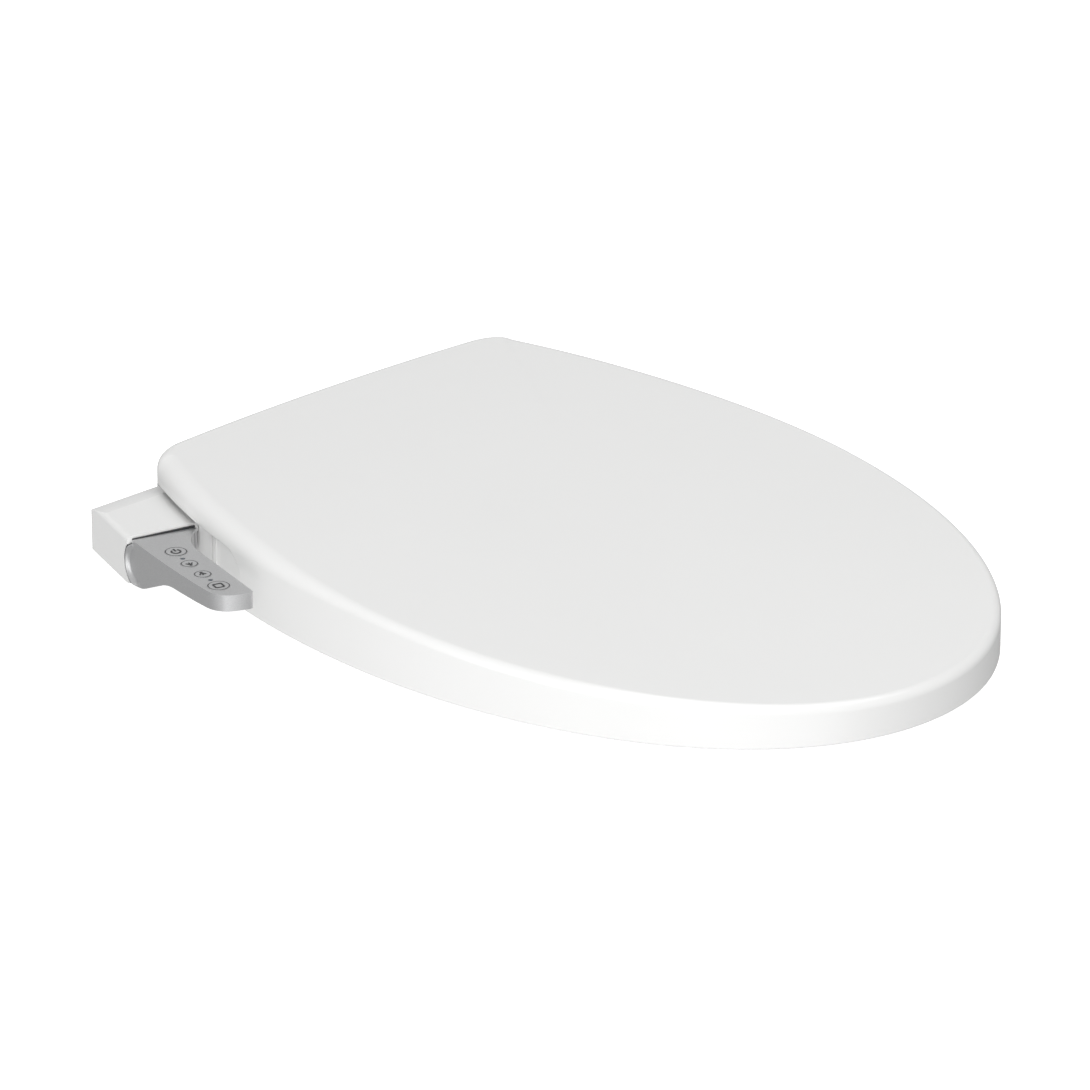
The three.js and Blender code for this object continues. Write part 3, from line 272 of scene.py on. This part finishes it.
BODY_OF = {n: body for body, members in frame["record"]["behaviour"]["bodies"].items() for n in members}

for node, cad in frame["nodes"].items():
    cad.data.materials.clear()
    cad.data.materials.append(MATERIALS[SLOT_OF[node]])


# ---- Meshes ----


def new_object(name, mesh):
    obj = bpy.data.objects.new(name, mesh)
    bpy.context.scene.collection.objects.link(obj)
    return obj


def from_bmesh(name, bm, sharp=38.0):
    """An object from a bmesh, smooth but for its sharp edges."""
    bmesh.ops.recalc_face_normals(bm, faces=bm.faces)
    mesh = bpy.data.meshes.new(name)
    bm.to_mesh(mesh)
    bm.free()
    mesh.shade_smooth()
    mesh.set_sharp_from_angle(angle=math.radians(sharp))
    return new_object(name, mesh)


def skin(rings, closed):
    """A surface over rings of equal point counts; the last ring joins the first one where closed is true."""
    bm = bmesh.new()
    rows = [[bm.verts.new(Vector(p) * MM) for p in ring] for ring in rings]
    pairs = list(zip(rows, rows[1:])) + ([(rows[-1], rows[0])] if closed else [])
    for a, b in pairs:
        count = len(a)
        for i in range(count):
            j = (i + 1) % count
            bm.faces.new((a[i], a[j], b[j], b[i]))
    bmesh.ops.remove_doubles(bm, verts=bm.verts, dist=1e-7)
    return bm


def capped(bm):
    """Closes the open ends of a surface."""
    bmesh.ops.holes_fill(bm, edges=[e for e in bm.edges if e.is_boundary], sides=0)
    return bm


def prism(loop, z0, z1, rounding=0.0, steps=6):
    """A closed loop of X and Y points raised from z0 to z1, with its top edge rounded."""
    loop = np.array(loop, float)
    rings = [[(x, y, z0) for x, y in loop]]
    for i in range(steps + 1 if rounding else 1):
        angle = i / steps * math.pi / 2
        moved = inset(loop, rounding * (1 - math.cos(angle))) if rounding else loop
        z = z1 - rounding * (1 - math.sin(angle))
        rings.append([(x, y, z) for x, y in moved])
    return capped(skin(rings, False))


def drawn_out(profile, x0, x1):
    """A closed loop of Y and Z points drawn out along X."""
    return capped(skin([[(x, y, z) for y, z in profile] for x in (x0, x1)], False))


def box(x0, x1, y0, y1, z0, z1):
    return prism([(x0, y0), (x1, y0), (x1, y1), (x0, y1)], z0, z1)


def lathe(profile, x, y, sides=64):
    """Points of radius and height, turned about a vertical line at x and y."""
    rings = []
    for radius, z in profile:
        angles = np.linspace(0, 2 * math.pi, sides, endpoint=False)
        rings.append([(x + radius * math.cos(a), y + radius * math.sin(a), z) for a in angles])
    return skin(rings, False)


def arc(cx, cy, radius, start, end, steps):
    angles = np.radians(np.linspace(start, end, steps + 1))
    return [(cx + radius * math.cos(a), cy + radius * math.sin(a)) for a in angles]


def curve(*points, steps=12):
    """A Bezier curve of degree two or three, without its first point."""
    p = [np.array(q, float) for q in points]
    out = []
    for i in range(1, steps + 1):
        t = i / steps
        level = p
        while len(level) > 1:
            level = [a * (1 - t) + b * t for a, b in zip(level, level[1:])]
        out.append(tuple(level[0]))
    return out


def bake(obj):
    """Applies an object's modifiers to its mesh."""
    graph = bpy.context.evaluated_depsgraph_get()
    mesh = bpy.data.meshes.new_from_object(obj.evaluated_get(graph))
    obj.modifiers.clear()
    obj.data = mesh


def combined(bm, operation, *others):
    """Cuts, joins or intersects closed meshes."""
    body = from_bmesh("body", bm)
    for other in others:
        tool = from_bmesh("tool", other)
        modifier = body.modifiers.new("combine", "BOOLEAN")
        modifier.operation = operation
        modifier.solver = "EXACT"
        modifier.object = tool
        bake(body)
        bpy.data.objects.remove(tool)
    out = bmesh.new()
    out.from_mesh(body.data)
    bpy.data.objects.remove(body)
    return out


def eased(bm, width, angle=30.0, segments=3):
    """Rounds the sharp edges of a mesh by width, in millimetres."""
    bmesh.ops.remove_doubles(bm, verts=bm.verts, dist=2e-6)
    bmesh.ops.dissolve_limit(bm, angle_limit=math.radians(0.6), verts=bm.verts, edges=bm.edges)
    edges = [e for e in bm.edges if len(e.link_faces) == 2 and e.calc_face_angle(0) > math.radians(angle)]
    bmesh.ops.bevel(
        bm, geom=edges, offset=width * MM, segments=segments, profile=0.5, affect="EDGES", clamp_overlap=True
    )
    return bm


def shades_nothing(obj):
    """Lets light through a piece to its neighbours, so that they stay evenly lit."""
    obj.visible_diffuse = False
    obj.visible_shadow = False


def finished(obj, body, slot, *nodes, material=None):
    """Gives a piece its material and the body it rides on, in place of the CAD nodes it stands for."""
    obj.data.materials.clear()
    obj.data.materials.append(material or MATERIALS[slot])
    modifier = obj.modifiers.new("normals", "WEIGHTED_NORMAL")
    modifier.keep_sharp = True
    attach(obj, body)
    if nodes:
        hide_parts(*nodes)
    return obj


def refined(node, width, segments=2, angle=30.0, sharp=38.0):
    """A CAD node's own shape with its edges eased and its curved faces smooth."""
    bm = bmesh.new()
    bm.from_mesh(frame["nodes"][node].data)
    for layer in list(bm.loops.layers.uv):
        bm.loops.layers.uv.remove(layer)
    bmesh.ops.remove_doubles(bm, verts=bm.verts, dist=2e-6)
    eased(bm, width, angle, segments)
    return finished(from_bmesh(node + "_look", bm, sharp), BODY_OF[node], SLOT_OF[node], node)


# ---- Outlines ----


def edge_z(y):
    return EDGE_REAR_Z + (REAR_Y - np.asarray(y)) / (REAR_Y - FRONT_Y) * (EDGE_FRONT_Z - EDGE_REAR_Z)


def half_width(y):
    along = np.minimum((REAR_Y - np.asarray(y, float)) / (REAR_Y - WIDEST_Y), 1.0)
    return REAR_HALF_WIDTH + (HALF_WIDTH - REAR_HALF_WIDTH) * (1 - (1 - along) ** SIDE_POWER)


def superellipse(angle, half, depth, power):
    """X and Y of a quarter of a superellipse."""
    return half * np.cos(angle) ** (2 / power), depth * np.sin(angle) ** (2 / power)


def mirrored(half):
    """A whole loop from the half of it that has X above zero."""
    half = np.array(half)
    back = half[1:-1][::-1] * (-1, 1)
    return np.vstack([half, back])


def inset(loop, distance):
    """A loop moved inwards by one distance or by a distance for each point."""
    distance = np.broadcast_to(np.asarray(distance, float), len(loop))[:, None]
    along = np.roll(loop, -1, 0) - np.roll(loop, 1, 0)
    along /= np.linalg.norm(along, axis=1)[:, None]
    turn = 1 if signed_area(loop) < 0 else -1
    return loop + turn * distance * np.c_[along[:, 1], -along[:, 0]]


def signed_area(loop):
    x, y = loop[:, 0], loop[:, 1]
    return float(np.sum(x * np.roll(y, -1) - np.roll(x, -1) * y) / 2)


def ring_outline(rear_y, corner, bow, fineness, marks=()):
    """The lid's outline from a rear edge at rear_y, with fineness points for each of the part's steps."""
    corner_x = float(half_width(rear_y)) - corner
    side_y = rear_y - corner
    rear = [(x, rear_y - bow * (x / corner_x) ** 2) for x in np.linspace(0, corner_x, 5 * fineness + 1)]
    start, end = Vector((corner_x, rear_y - bow)), Vector((float(half_width(side_y)), side_y))
    out_of_rear = Vector((1, -2 * bow / corner_x)).normalized() * corner / 2
    into_side = Vector((float(half_width(side_y - 1)) - end.x, -1)).normalized() * corner / 2
    bend = curve(start, start + out_of_rear, end - into_side, end, steps=5 * fineness)
    ys = np.linspace(side_y, WIDEST_Y, 10 * fineness + 1)[1:]
    ys = np.array(sorted(set(ys) | set(marks), reverse=True))
    side = [(float(half_width(y)), y) for y in ys]
    angles = np.linspace(0, math.pi / 2, 17 * fineness + 1)[1:]
    x, y = superellipse(angles, HALF_WIDTH, WIDEST_Y - FRONT_Y, FRONT_POWER)
    front = [(a, WIDEST_Y - b) for a, b in zip(x, y)]
    front[-1] = (0.0, FRONT_Y)
    return mirrored(rear + bend + side + front)


# ---- Lid ----


def skirt_z(y):
    """Height of the lid's lower edge: full depth ahead of the base, and an arch over it."""
    y = np.asarray(y, float)
    centre_y, centre_z = ARCH_Y + ARCH_RADIUS, ARCH_Z - ARCH_RADIUS
    along = np.clip(y - centre_y, -ARCH_RADIUS, 0)
    curved = centre_z + np.sqrt(np.maximum(ARCH_RADIUS**2 - along**2, 0))
    return np.where(y <= ARCH_Y, SKIRT_Z, curved)


def smooth(value, low, high):
    t = np.clip((np.asarray(value, float) - low) / (high - low), 0, 1)
    return t * t * (3 - 2 * t)


def lid_rounding(y):
    """The radius of the lid's edge: widest at the rear corners and least at the front."""
    ahead = ROUNDING_CORNER + (ROUNDING_FRONT - ROUNDING_CORNER) * smooth(-y, 40, 220)
    return ahead + (ROUNDING_REAR - ahead) * smooth(y, 28, 44)


def lid_top_z(p):
    """Height of the lid's outer face: a slope from rear to front with a low crown."""
    middle = (REAR_Y + FRONT_Y) / 2
    across = p[:, 0] / HALF_WIDTH
    along = (p[:, 1] - middle) / (REAR_Y - middle)
    return edge_z(p[:, 1]) + LID_CROWN * (1 - across**2) * (1 - along**2)


def lid_rings(outline, depth):
    """Rings over one skin of the lid, depth inside its outer face, from the lower edge to the middle."""
    radius = lid_rounding(outline[:, 1])
    rounding = radius - depth
    bottom = skirt_z(outline[:, 1])
    wall = inset(outline, depth)
    shoulder = lid_top_z(wall) - radius
    rim = 0.8
    sign = 1 if depth == 0 else -1
    rings = []
    for i in range(4):
        angle = i / 3 * math.pi / 2
        moved = inset(outline, depth + sign * rim * (1 - math.sin(angle)))
        rings.append(np.c_[moved, bottom + rim * (1 - math.cos(angle))])
    for share in (0.3, 0.6, 0.85):
        rings.append(np.c_[wall, bottom + rim + share * (shoulder - bottom - rim)])
    for i in range(13):
        angle = i / 12 * math.pi / 2
        moved = inset(outline, depth + rounding * (1 - math.cos(angle)))
        rings.append(np.c_[moved, lid_top_z(moved) - radius + rounding * math.sin(angle)])
    top = inset(outline, radius)
    middle = np.array([0.0, (REAR_Y + FRONT_Y) / 2])
    for scale in (0.96, 0.9, 0.8, 0.65, 0.5, 0.35, 0.2, 0.1, 0.0):
        loop = middle + (top - middle) * scale
        rings.append(np.c_[loop, lid_top_z(loop) - depth])
    return rings


def pin_hole(x0, x1):
    """The bore for a hinge pin."""
    return drawn_out(arc(HINGE_Y, HINGE_Z, PIN_HOLE, 0, 345, 23), x0, x1)


def lid():
    arch_angles = np.linspace(0.12, math.pi / 2, 14)
    marks = [ARCH_Y, ARCH_Y + 0.02] + list(ARCH_Y + ARCH_RADIUS * (1 - np.cos(arch_angles)))
    outline = ring_outline(REAR_Y, REAR_CORNER, REAR_BOW, 7, marks)
    outer = lid_rings(outline, 0.0)
    inner = lid_rings(outline, LID_WALL)
    bm = skin(outer[::-1] + inner, False)
    finished(from_bmesh("lid_skin", bm, 50.0), "lid", "shell", "lid_shell")
    top = float(edge_z(HINGE_Y)) - 2
    neck = KNUCKLE - 0.5
    ring = arc(HINGE_Y, HINGE_Z, KNUCKLE, 180, 360, 24) + [(HINGE_Y + neck, top), (HINGE_Y - neck, top)]
    for name, x0 in LID_LUGS.items():
        x1 = x0 + LUG_WIDTH
        lug = combined(drawn_out(ring, x0, x1), "DIFFERENCE", pin_hole(x0 - 1, x1 + 1))
        finished(from_bmesh(name, eased(lug, 0.5)), "lid", "shell")


# ---- Seat ----


def seat_top_z(y):
    return edge_z(y) - SEAT_UNDER_LID


def opening_outline(rear_points, front_points):
    rear_angles = (1 - np.arange(rear_points) / rear_points) * math.pi / 2
    x, y = superellipse(rear_angles, OPENING["half"], OPENING["rear"] - OPENING["widest"], OPENING["power"])
    rear = [(a, OPENING["widest"] + b) for a, b in zip(x, y)]
    rear[0] = (0.0, OPENING["rear"])
    front_angles = np.arange(front_points + 1) / front_points * math.pi / 2
    x, y = superellipse(front_angles, OPENING["half"], OPENING["widest"] - OPENING["front"], OPENING["power"])
    front = [(a, OPENING["widest"] - b) for a, b in zip(x, y)]
    front[-1] = (0.0, OPENING["front"])
    return mirrored(rear + front)


def seat_ring(outer, inner, distance, edge, height):
    """A ring between the seat's two outlines, at a distance from one of them."""
    width = np.linalg.norm(outer - inner, axis=1)
    share = distance / width if edge == "outer" else 1 - distance / width
    p = outer + (inner - outer) * share[:, None]
    return np.c_[p, height(p[:, 1])]


def seat_bottom_z(y):
    return 0 * y + SEAT_BOTTOM_Z


def seat_shoulder(outer, inner, depth, edge, drop):
    """Rings over a rounded upper edge of the seat, which lies drop below the seat's top."""
    radius = SEAT_SHOULDER - depth
    rings = []
    for angle in np.linspace(0, math.pi / 2, 11):
        distance = depth + radius * (1 - math.cos(angle))
        lift = radius * math.sin(angle) - SEAT_SHOULDER - drop
        rings.append(seat_ring(outer, inner, distance, edge, lambda y: seat_top_z(y) + lift))
    return rings


def seat_profile(outer, inner, depth):
    """Rings over one skin of the seat, from the outer lower edge to the inner one."""
    rings = [seat_ring(outer, inner, depth, "outer", seat_bottom_z)]
    rings += seat_shoulder(outer, inner, depth, "outer", 0)
    inner_rings = seat_shoulder(outer, inner, depth, "inner", SEAT_DISH)
    a, b = rings[-1], inner_rings[-1]
    for share in np.linspace(0, 1, 12)[1:-1]:
        ring = a + (b - a) * share
        sunk = SEAT_DISH * share**2 * (3 - 2 * share)
        ring[:, 2] = seat_top_z(ring[:, 1]) - depth - sunk
        rings.append(ring)
    rings += inner_rings[::-1]
    rings.append(seat_ring(outer, inner, depth, "inner", seat_bottom_z))
    return rings


def seat():
    fineness = 5
    outer = inset(ring_outline(SEAT_REAR_Y + SEAT_INSET, SEAT_CORNER, 0, fineness), SEAT_INSET)
    inner = opening_outline(20 * fineness, 17 * fineness)
    bm = skin(seat_profile(outer, inner, 0.0) + seat_profile(outer, inner, SEAT_WALL)[::-1], True)
    bm = combined(bm, "DIFFERENCE", box(*NOZZLE_BAY), box(*NOZZLE_SPOUT))
    finished(from_bmesh("seat_skin", bm, 40.0), "seat", "shell", "seat_upper_shell")
    ring = arc(HINGE_Y, HINGE_Z, KNUCKLE, -90, 90, 18)
    ring += [(HINGE_Y - 5, SEAT_ARM_TOP_Z + 2), (SEAT_ARM_FRONT_Y, SEAT_ARM_TOP_Z)]
    ring += [(SEAT_ARM_FRONT_Y, SEAT_ARM_LOW_Z), (HINGE_Y - 6, SEAT_ARM_LOW_Z)]
    for name, x0 in SEAT_ARMS.items():
        x1 = x0 + SEAT_ARM_WIDTH
        seat_arm = combined(drawn_out(ring, x0, x1), "DIFFERENCE", pin_hole(x0 - 1, x1 + 1))
        finished(from_bmesh(name, eased(seat_arm, 0.7)), "seat", "shell")


# ---- Control arm ----


def arm_profile(depth):
    """The arm's side view in Y and Z."""
    radius, top = BARREL_SKIN - depth, ARM_TOP_Z - depth
    rear_y = -1.3 - depth
    meet = math.degrees(math.asin((rear_y - BARREL_Y) / radius))
    low = BARREL_Z - radius
    front, middle = (ARM_FRONT_Y, 26.4 + depth), (-52, 23.9 + depth)
    points = [(rear_y, top), (ARM_FRONT_Y, top), front]
    points += curve(front, (-85, 24.6 + depth), (-70, 24.4 + depth), middle, steps=14)
    points += curve(middle, (-36, 23.5 + depth), (-19, low), (BARREL_Y, low), steps=20)
    points += arc(BARREL_Y, BARREL_Z, radius, -90, 90 - meet, 32)[1:]
    return points


def arm_plan(d):
    """The arm seen from above."""
    points = [(-19.5 + d, 8), (-19.5 + d, -1)]
    points += curve((-19.5 + d, -1), (-17.4 + d, -48), (-11.4 + d, -87), steps=24)
    points += curve((-11.4 + d, -87), (-9.8 + d, -99 + d), (-1, -101.9 + d), steps=16)
    points += curve((-1, -101.9 + d), (4, -103.3 + d), (10, -103.4 + d), steps=8)
    points += curve((10, -103.4 + d), (12.8 - d, -103.6 + d), (12.5 - d, -100), steps=8)
    points += [(8.9 - d, -34 - d)]
    points += curve((8.9 - d, -34 - d), (8 - d, -15 - d), (22 - d, -2.5 - d), steps=14)
    return points + [(22 - d, 8)]


def rim_reach(angle):
    """How far the lip stands out from the arm's side, at an angle around the barrel."""
    return 2.4 * float(smooth(angle, -92, -62)) * (1 - 0.6 * float(smooth(angle, 40, 60)))


def around_barrel(section, angle):
    """Points of X and radius, placed at an angle around the barrel."""
    a = math.radians(angle)
    return [(x, BARREL_Y + r * math.cos(a), BARREL_Z + r * math.sin(a)) for x, r in section]


def arm_rim():
    """A lip around the barrel's outer end that runs out into the arm's side."""
    root_x, face_x = -17.0, -19.3
    radius, foot = BARREL_SKIN, BARREL_SKIN - 3.4
    rings = []
    for angle in np.linspace(-92, 60, 50):
        reach = rim_reach(angle)
        lip_x = face_x - reach
        section = [(root_x, radius), (lip_x, radius), (lip_x - 0.2, radius - 0.25)]
        section += [(lip_x - 0.2, radius - 0.7), (lip_x, radius - 1.0)]
        hollow = (face_x - 0.1 - 0.25 * reach, radius - 1.6)
        section += curve((lip_x, radius - 1.0), hollow, (face_x, foot), steps=5)
        section += [(root_x, foot)]
        rings.append(around_barrel(section, angle))
    return capped(skin(rings, False))


def arm_painted_shadows():
    """Dark pieces of painted shadow in the gap between the arm and the ear that holds it: around the barrel and
    across the top.
    """
    radius, foot, inner_x = BARREL_RADIUS + 0.3, BARREL_RADIUS - 2.2, 21.0
    rings = []
    for angle in np.linspace(-64, 56, 50):
        end = -19.3 - rim_reach(angle)
        band = [(end, radius), (inner_x, radius), (inner_x, foot), (end + 1.5, foot), (end, radius - 0.8)]
        rings.append(around_barrel(band, angle))
    strip = []
    for x, top in ((-18.8, 36.3), (21.4, 37.2)):
        strip.append([(x, -1.35, BARREL_Z), (x, -1.35, top), (x, -0.1, top), (x, -0.1, BARREL_Z)])
    return {"arm_painted_shadow_band": capped(skin(rings, False)), "arm_painted_shadow_strip": capped(skin(strip, False))}


def arm_body(depth):
    return combined(drawn_out(arm_profile(depth), -40, 40), "INTERSECT", prism(arm_plan(depth), 0, 60))


AT_ARM = Matrix.Translation((ARM_X * MM, ARM_Y * MM, 0)) @ Matrix.Rotation(ARM_TURN, 4, "Z")


def at_arm(bm):
    bm.transform(AT_ARM)
    return bm


SIGN_DEPTH = 0.1


def ring_strip(bm, cx, cy, z, inner, outer, start=0.0, end=360.0, steps=40):
    """A flat band on a button, raised a hair above it."""
    angles = np.radians(np.linspace(start, end, steps + 1))
    rows = []
    for radius, height in ((inner, z - SIGN_DEPTH), (inner, z), (outer, z), (outer, z - SIGN_DEPTH)):
        points = [Vector((cx + radius * math.cos(a), cy + radius * math.sin(a), height)) for a in angles]
        rows.append([bm.verts.new(p * MM) for p in points])
    for a, b in zip(rows, rows[1:]):
        for i in range(steps):
            bm.faces.new((a[i], a[i + 1], b[i + 1], b[i]))


def bar(bm, x0, y0, x1, y1, z, width):
    """A straight stroke of an icon."""
    start, end = Vector((x0, y0, z)), Vector((x1, y1, z))
    along = (end - start).normalized()
    side = Vector((-along.y, along.x, 0)) * width / 2
    corners = [start - side, end - side, end + side, start + side]
    top = [bm.verts.new(c * MM) for c in corners]
    low = [bm.verts.new((c - Vector((0, 0, SIGN_DEPTH))) * MM) for c in corners]
    bm.faces.new(top)
    for i in range(4):
        j = (i + 1) % 4
        bm.faces.new((low[i], low[j], top[j], top[i]))


def power_sign(bm, x, y, z):
    ring_strip(bm, x, y, z, 2.1, 3.3, 125, 415, 30)
    bar(bm, x, y + 0.5, x, y + 4.1, z, 1.2)


def stop_sign(bm, x, y, z):
    half = 2.596
    corners = [(x - half, y - half), (x + half, y - half), (x + half, y + half), (x - half, y + half)]
    for i in range(4):
        bar(bm, *corners[i], *corners[(i + 1) % 4], z, 1.15)


def spray_sign(bm, x, y, z, side):
    """Three jets that fan out of a round nozzle, forwards or backwards."""
    for angle in (-38, 0, 38):
        across, ahead = math.cos(math.radians(90 + angle)), side * math.sin(math.radians(90 + angle))
        root_y = y - 2.2 * side
        bar(bm, x + 1.2 * across, root_y + 1.2 * ahead, x + 3.3 * across, root_y + 3.6 * ahead, z, 0.9)
    ring_strip(bm, x, y - 2.4 * side, z, 0.0001, 1.0, 0, 360, 20)


def icon(button, x, y, radius, z):
    """A plain sign inside a ring."""
    bm = bmesh.new()
    ring_strip(bm, x, y, z, radius - 0.55, radius - 0.1)
    if button == "power_button":
        power_sign(bm, x, y, z)
    elif button == "stop_button":
        stop_sign(bm, x, y, z)
    else:
        spray_sign(bm, x, y, z, 1 if button == "front_wash_button" else -1)
    return at_arm(bm)


def button_cap(x, y, radius):
    """A cap with a flange under the arm's skin, an eased edge and a slightly hollow top."""
    flange_z = BUTTON_TOP_Z - ARM_WALL - 1.45
    flange = radius + 0.8
    profile = [(0, flange_z), (flange, flange_z), (flange, flange_z + 0.9), (radius, flange_z + 0.9)]
    for inwards, sunk in ((0, 0.4), (0.12, 0.12), (0.4, 0)):
        profile.append((radius - inwards, BUTTON_TOP_Z - sunk))
    for share, sunk in ((0.6, 0.1), (0.3, 0.14), (0, 0.15)):
        profile.append((radius * share, BUTTON_TOP_Z - sunk))
    return at_arm(lathe(profile, x, y))


def lamp_dome(x, y):
    profile = [(0, 31.3), (LAMP_RADIUS, 31.3), (LAMP_RADIUS, 35.9)]
    for share, z in ((0.8, 36.15), (0.4, 36.28), (0, 36.3)):
        profile.append((LAMP_RADIUS * share, z))
    return at_arm(lathe(profile, x, y, 32))


def arm():
    holes = [prism(arc(x, y, r + 0.3, 0, 352.5, 47), 29, 45) for x, y, r in BUTTONS.values()]
    holes += [prism(arc(x, y, LAMP_RADIUS + 0.25, 0, 345, 23), 29, 45) for x, y in LAMPS.values()]
    casing = combined(eased(arm_body(0.0), 0.8, 25.0, 3), "DIFFERENCE", arm_body(ARM_WALL), *holes)
    casing = from_bmesh("arm_casing", at_arm(casing), 32.0)
    finished(casing, "base", "silver", "arm_upper_shell", "arm_lower_shell")
    rim = finished(from_bmesh("arm_rim", at_arm(arm_rim()), 40.0), "base", "silver")
    for obj in (casing, rim):
        shades_nothing(obj)
    # Black strips that paint the shadow in the gap between the arm and the ear
    for name, bm in arm_painted_shadows().items():
        finished(from_bmesh(name, at_arm(bm), 40.0), "base", "black")
    for name, (x, y, radius) in BUTTONS.items():
        finished(from_bmesh(name + "_cap", button_cap(x, y, radius), 40.0), name, "button", name)
        sign = from_bmesh(name + "_sign", icon(name, x, y, radius, BUTTON_TOP_Z + 0.03))
        finished(sign, name, "black", material=ICON_INK)
    for name, (x, y) in LAMPS.items():
        finished(from_bmesh(name + "_dome", lamp_dome(x, y), 60.0), "base", "lens", name)


# ---- Pieces that keep the CAD shape ----

# How far their sharp edges are rounded
EASED_EDGES = {
    "base_upper_cover": 0.8,
    "base_lower_tray": 0.6,
    "arm_root_cover": 0.5,
    "nozzle_guard": 0.5,
    "mounting_plate": 0.5,
    "right_bolt_adjuster": 0.4,
    "left_bolt_adjuster": 0.4,
    "cord_gland": 0.4,
    "release_button": 0.3,
    "seat_lower_shell": 0.4,
    "water_inlet_fitting": 0.4,
    "front_nozzle": 0.2,
    "rear_nozzle": 0.2,
    "front_nozzle_tip": 0.15,
    "rear_nozzle_tip": 0.15,
}
PAD_EDGE = 1.2


def small_parts():
    for node, width in EASED_EDGES.items():
        refined(node, width)
    for node in SLOT_OF:
        if "_pad_" in node:
            refined(node, PAD_EDGE, 4)


# ---- Stage, camera and light ----

WORLD_ABOVE, WORLD_BELOW, WORLD_CARD = 0.60, 0.42, 1.2
CARD_TOWARD = (-0.528, -0.754, -0.39)


def floor():
    n = Nodes("studio_floor")
    n.link(n.shades(n.noise(2.0), (0.40, 0.40, 0.40), (0.42, 0.42, 0.42)), n.shader.inputs["Base Color"])
    n.set(Roughness=0.9, Emission_Color=(1, 1, 1, 1), Emission_Strength=0.88, Specular_IOR_Level=0.1)
    bm = bmesh.new()
    bmesh.ops.create_grid(bm, x_segments=8, y_segments=8, size=8.0)
    obj = from_bmesh("floor", bm)
    obj.location.z = cad_box[0].z - 0.0005
    obj.data.materials.append(n.material)
    obj.visible_glossy = False
    shades_nothing(obj)


def direction(azimuth, elevation):
    """The way to a point around the part: azimuth in degrees from the front towards +X, and elevation."""
    a, e = math.radians(azimuth), math.radians(elevation)
    return Vector((math.sin(a) * math.cos(e), -math.cos(a) * math.cos(e), math.sin(e)))


def camera():
    target = Vector((0.01287, -0.13709, 0.008))
    away = direction(-43.37, 23.4)
    data = bpy.data.cameras.new("camera")
    data.sensor_width = 36.0
    data.lens = 231.19266
    data.clip_end = 50.0
    cam = new_object("camera", data)
    cam.location = target + away * 4.1945
    cam.rotation_euler = (-away).to_track_quat("-Z", "Y").to_euler()
    bpy.context.scene.camera = cam


def softbox(name, azimuth, elevation, distance, size, power):
    """A rectangular lamp that faces the middle of the seat."""
    away = direction(azimuth, elevation)
    data = bpy.data.lights.new(name, "AREA")
    data.shape = "RECTANGLE"
    data.size, data.size_y = size
    data.energy = power
    lamp = new_object(name, data)
    lamp.location = Vector((0, -0.2, 0)) + away * distance
    lamp.rotation_euler = (-away).to_track_quat("-Z", "Y").to_euler()
    return lamp


def light():
    """Soft boxes in an even pale room. Below it is darker, with one bright card low in front."""
    world = bpy.data.worlds.new("studio")
    world.use_nodes = True
    tree = world.node_tree
    background = tree.nodes["Background"]
    background.inputs["Color"].default_value = (1, 1, 1, 1)
    way = tree.nodes.new("ShaderNodeTexCoord").outputs["Generated"]

    def ramp(source, low, high, at_low, at_high):
        node = tree.nodes.new("ShaderNodeMapRange")
        node.inputs["From Min"].default_value = low
        node.inputs["From Max"].default_value = high
        node.inputs["To Min"].default_value = at_low
        node.inputs["To Max"].default_value = at_high
        tree.links.new(source, node.inputs["Value"])
        return node.outputs["Result"]

    toward = tree.nodes.new("ShaderNodeVectorMath")
    toward.operation = "DOT_PRODUCT"
    toward.inputs[1].default_value = Vector(CARD_TOWARD).normalized()
    tree.links.new(way, toward.inputs[0])
    height = tree.nodes.new("ShaderNodeSeparateXYZ")
    tree.links.new(way, height.inputs["Vector"])
    mix = tree.nodes.new("ShaderNodeMix")
    mix.inputs["B"].default_value = WORLD_ABOVE
    tree.links.new(ramp(height.outputs["Z"], -0.12, 0.06, 0.0, 1.0), mix.inputs["Factor"])
    below = ramp(toward.outputs["Value"], 0.80, 0.95, WORLD_BELOW, WORLD_CARD)
    tree.links.new(below, mix.inputs["A"])
    tree.links.new(mix.outputs["Result"], background.inputs["Strength"])
    bpy.context.scene.world = world
    softbox("key", -30, 26, 3.0, (2.4, 1.4), 26).visible_glossy = False
    softbox("top", 20, 78, 2.6, (2.4, 2.4), 32)
    softbox("left_fill", -82, 5, 3.0, (3.2, 2.0), 25)
    softbox("low_fill", -74, -16, 3.0, (3.0, 2.0), 28).visible_glossy = False
    softbox("rear_fill", 165, 12, 3.0, (3.0, 2.0), 14).visible_glossy = False
    bpy.context.scene.view_settings.view_transform = "Standard"


camera()
lid()
seat()
arm()
small_parts()
floor()
light()
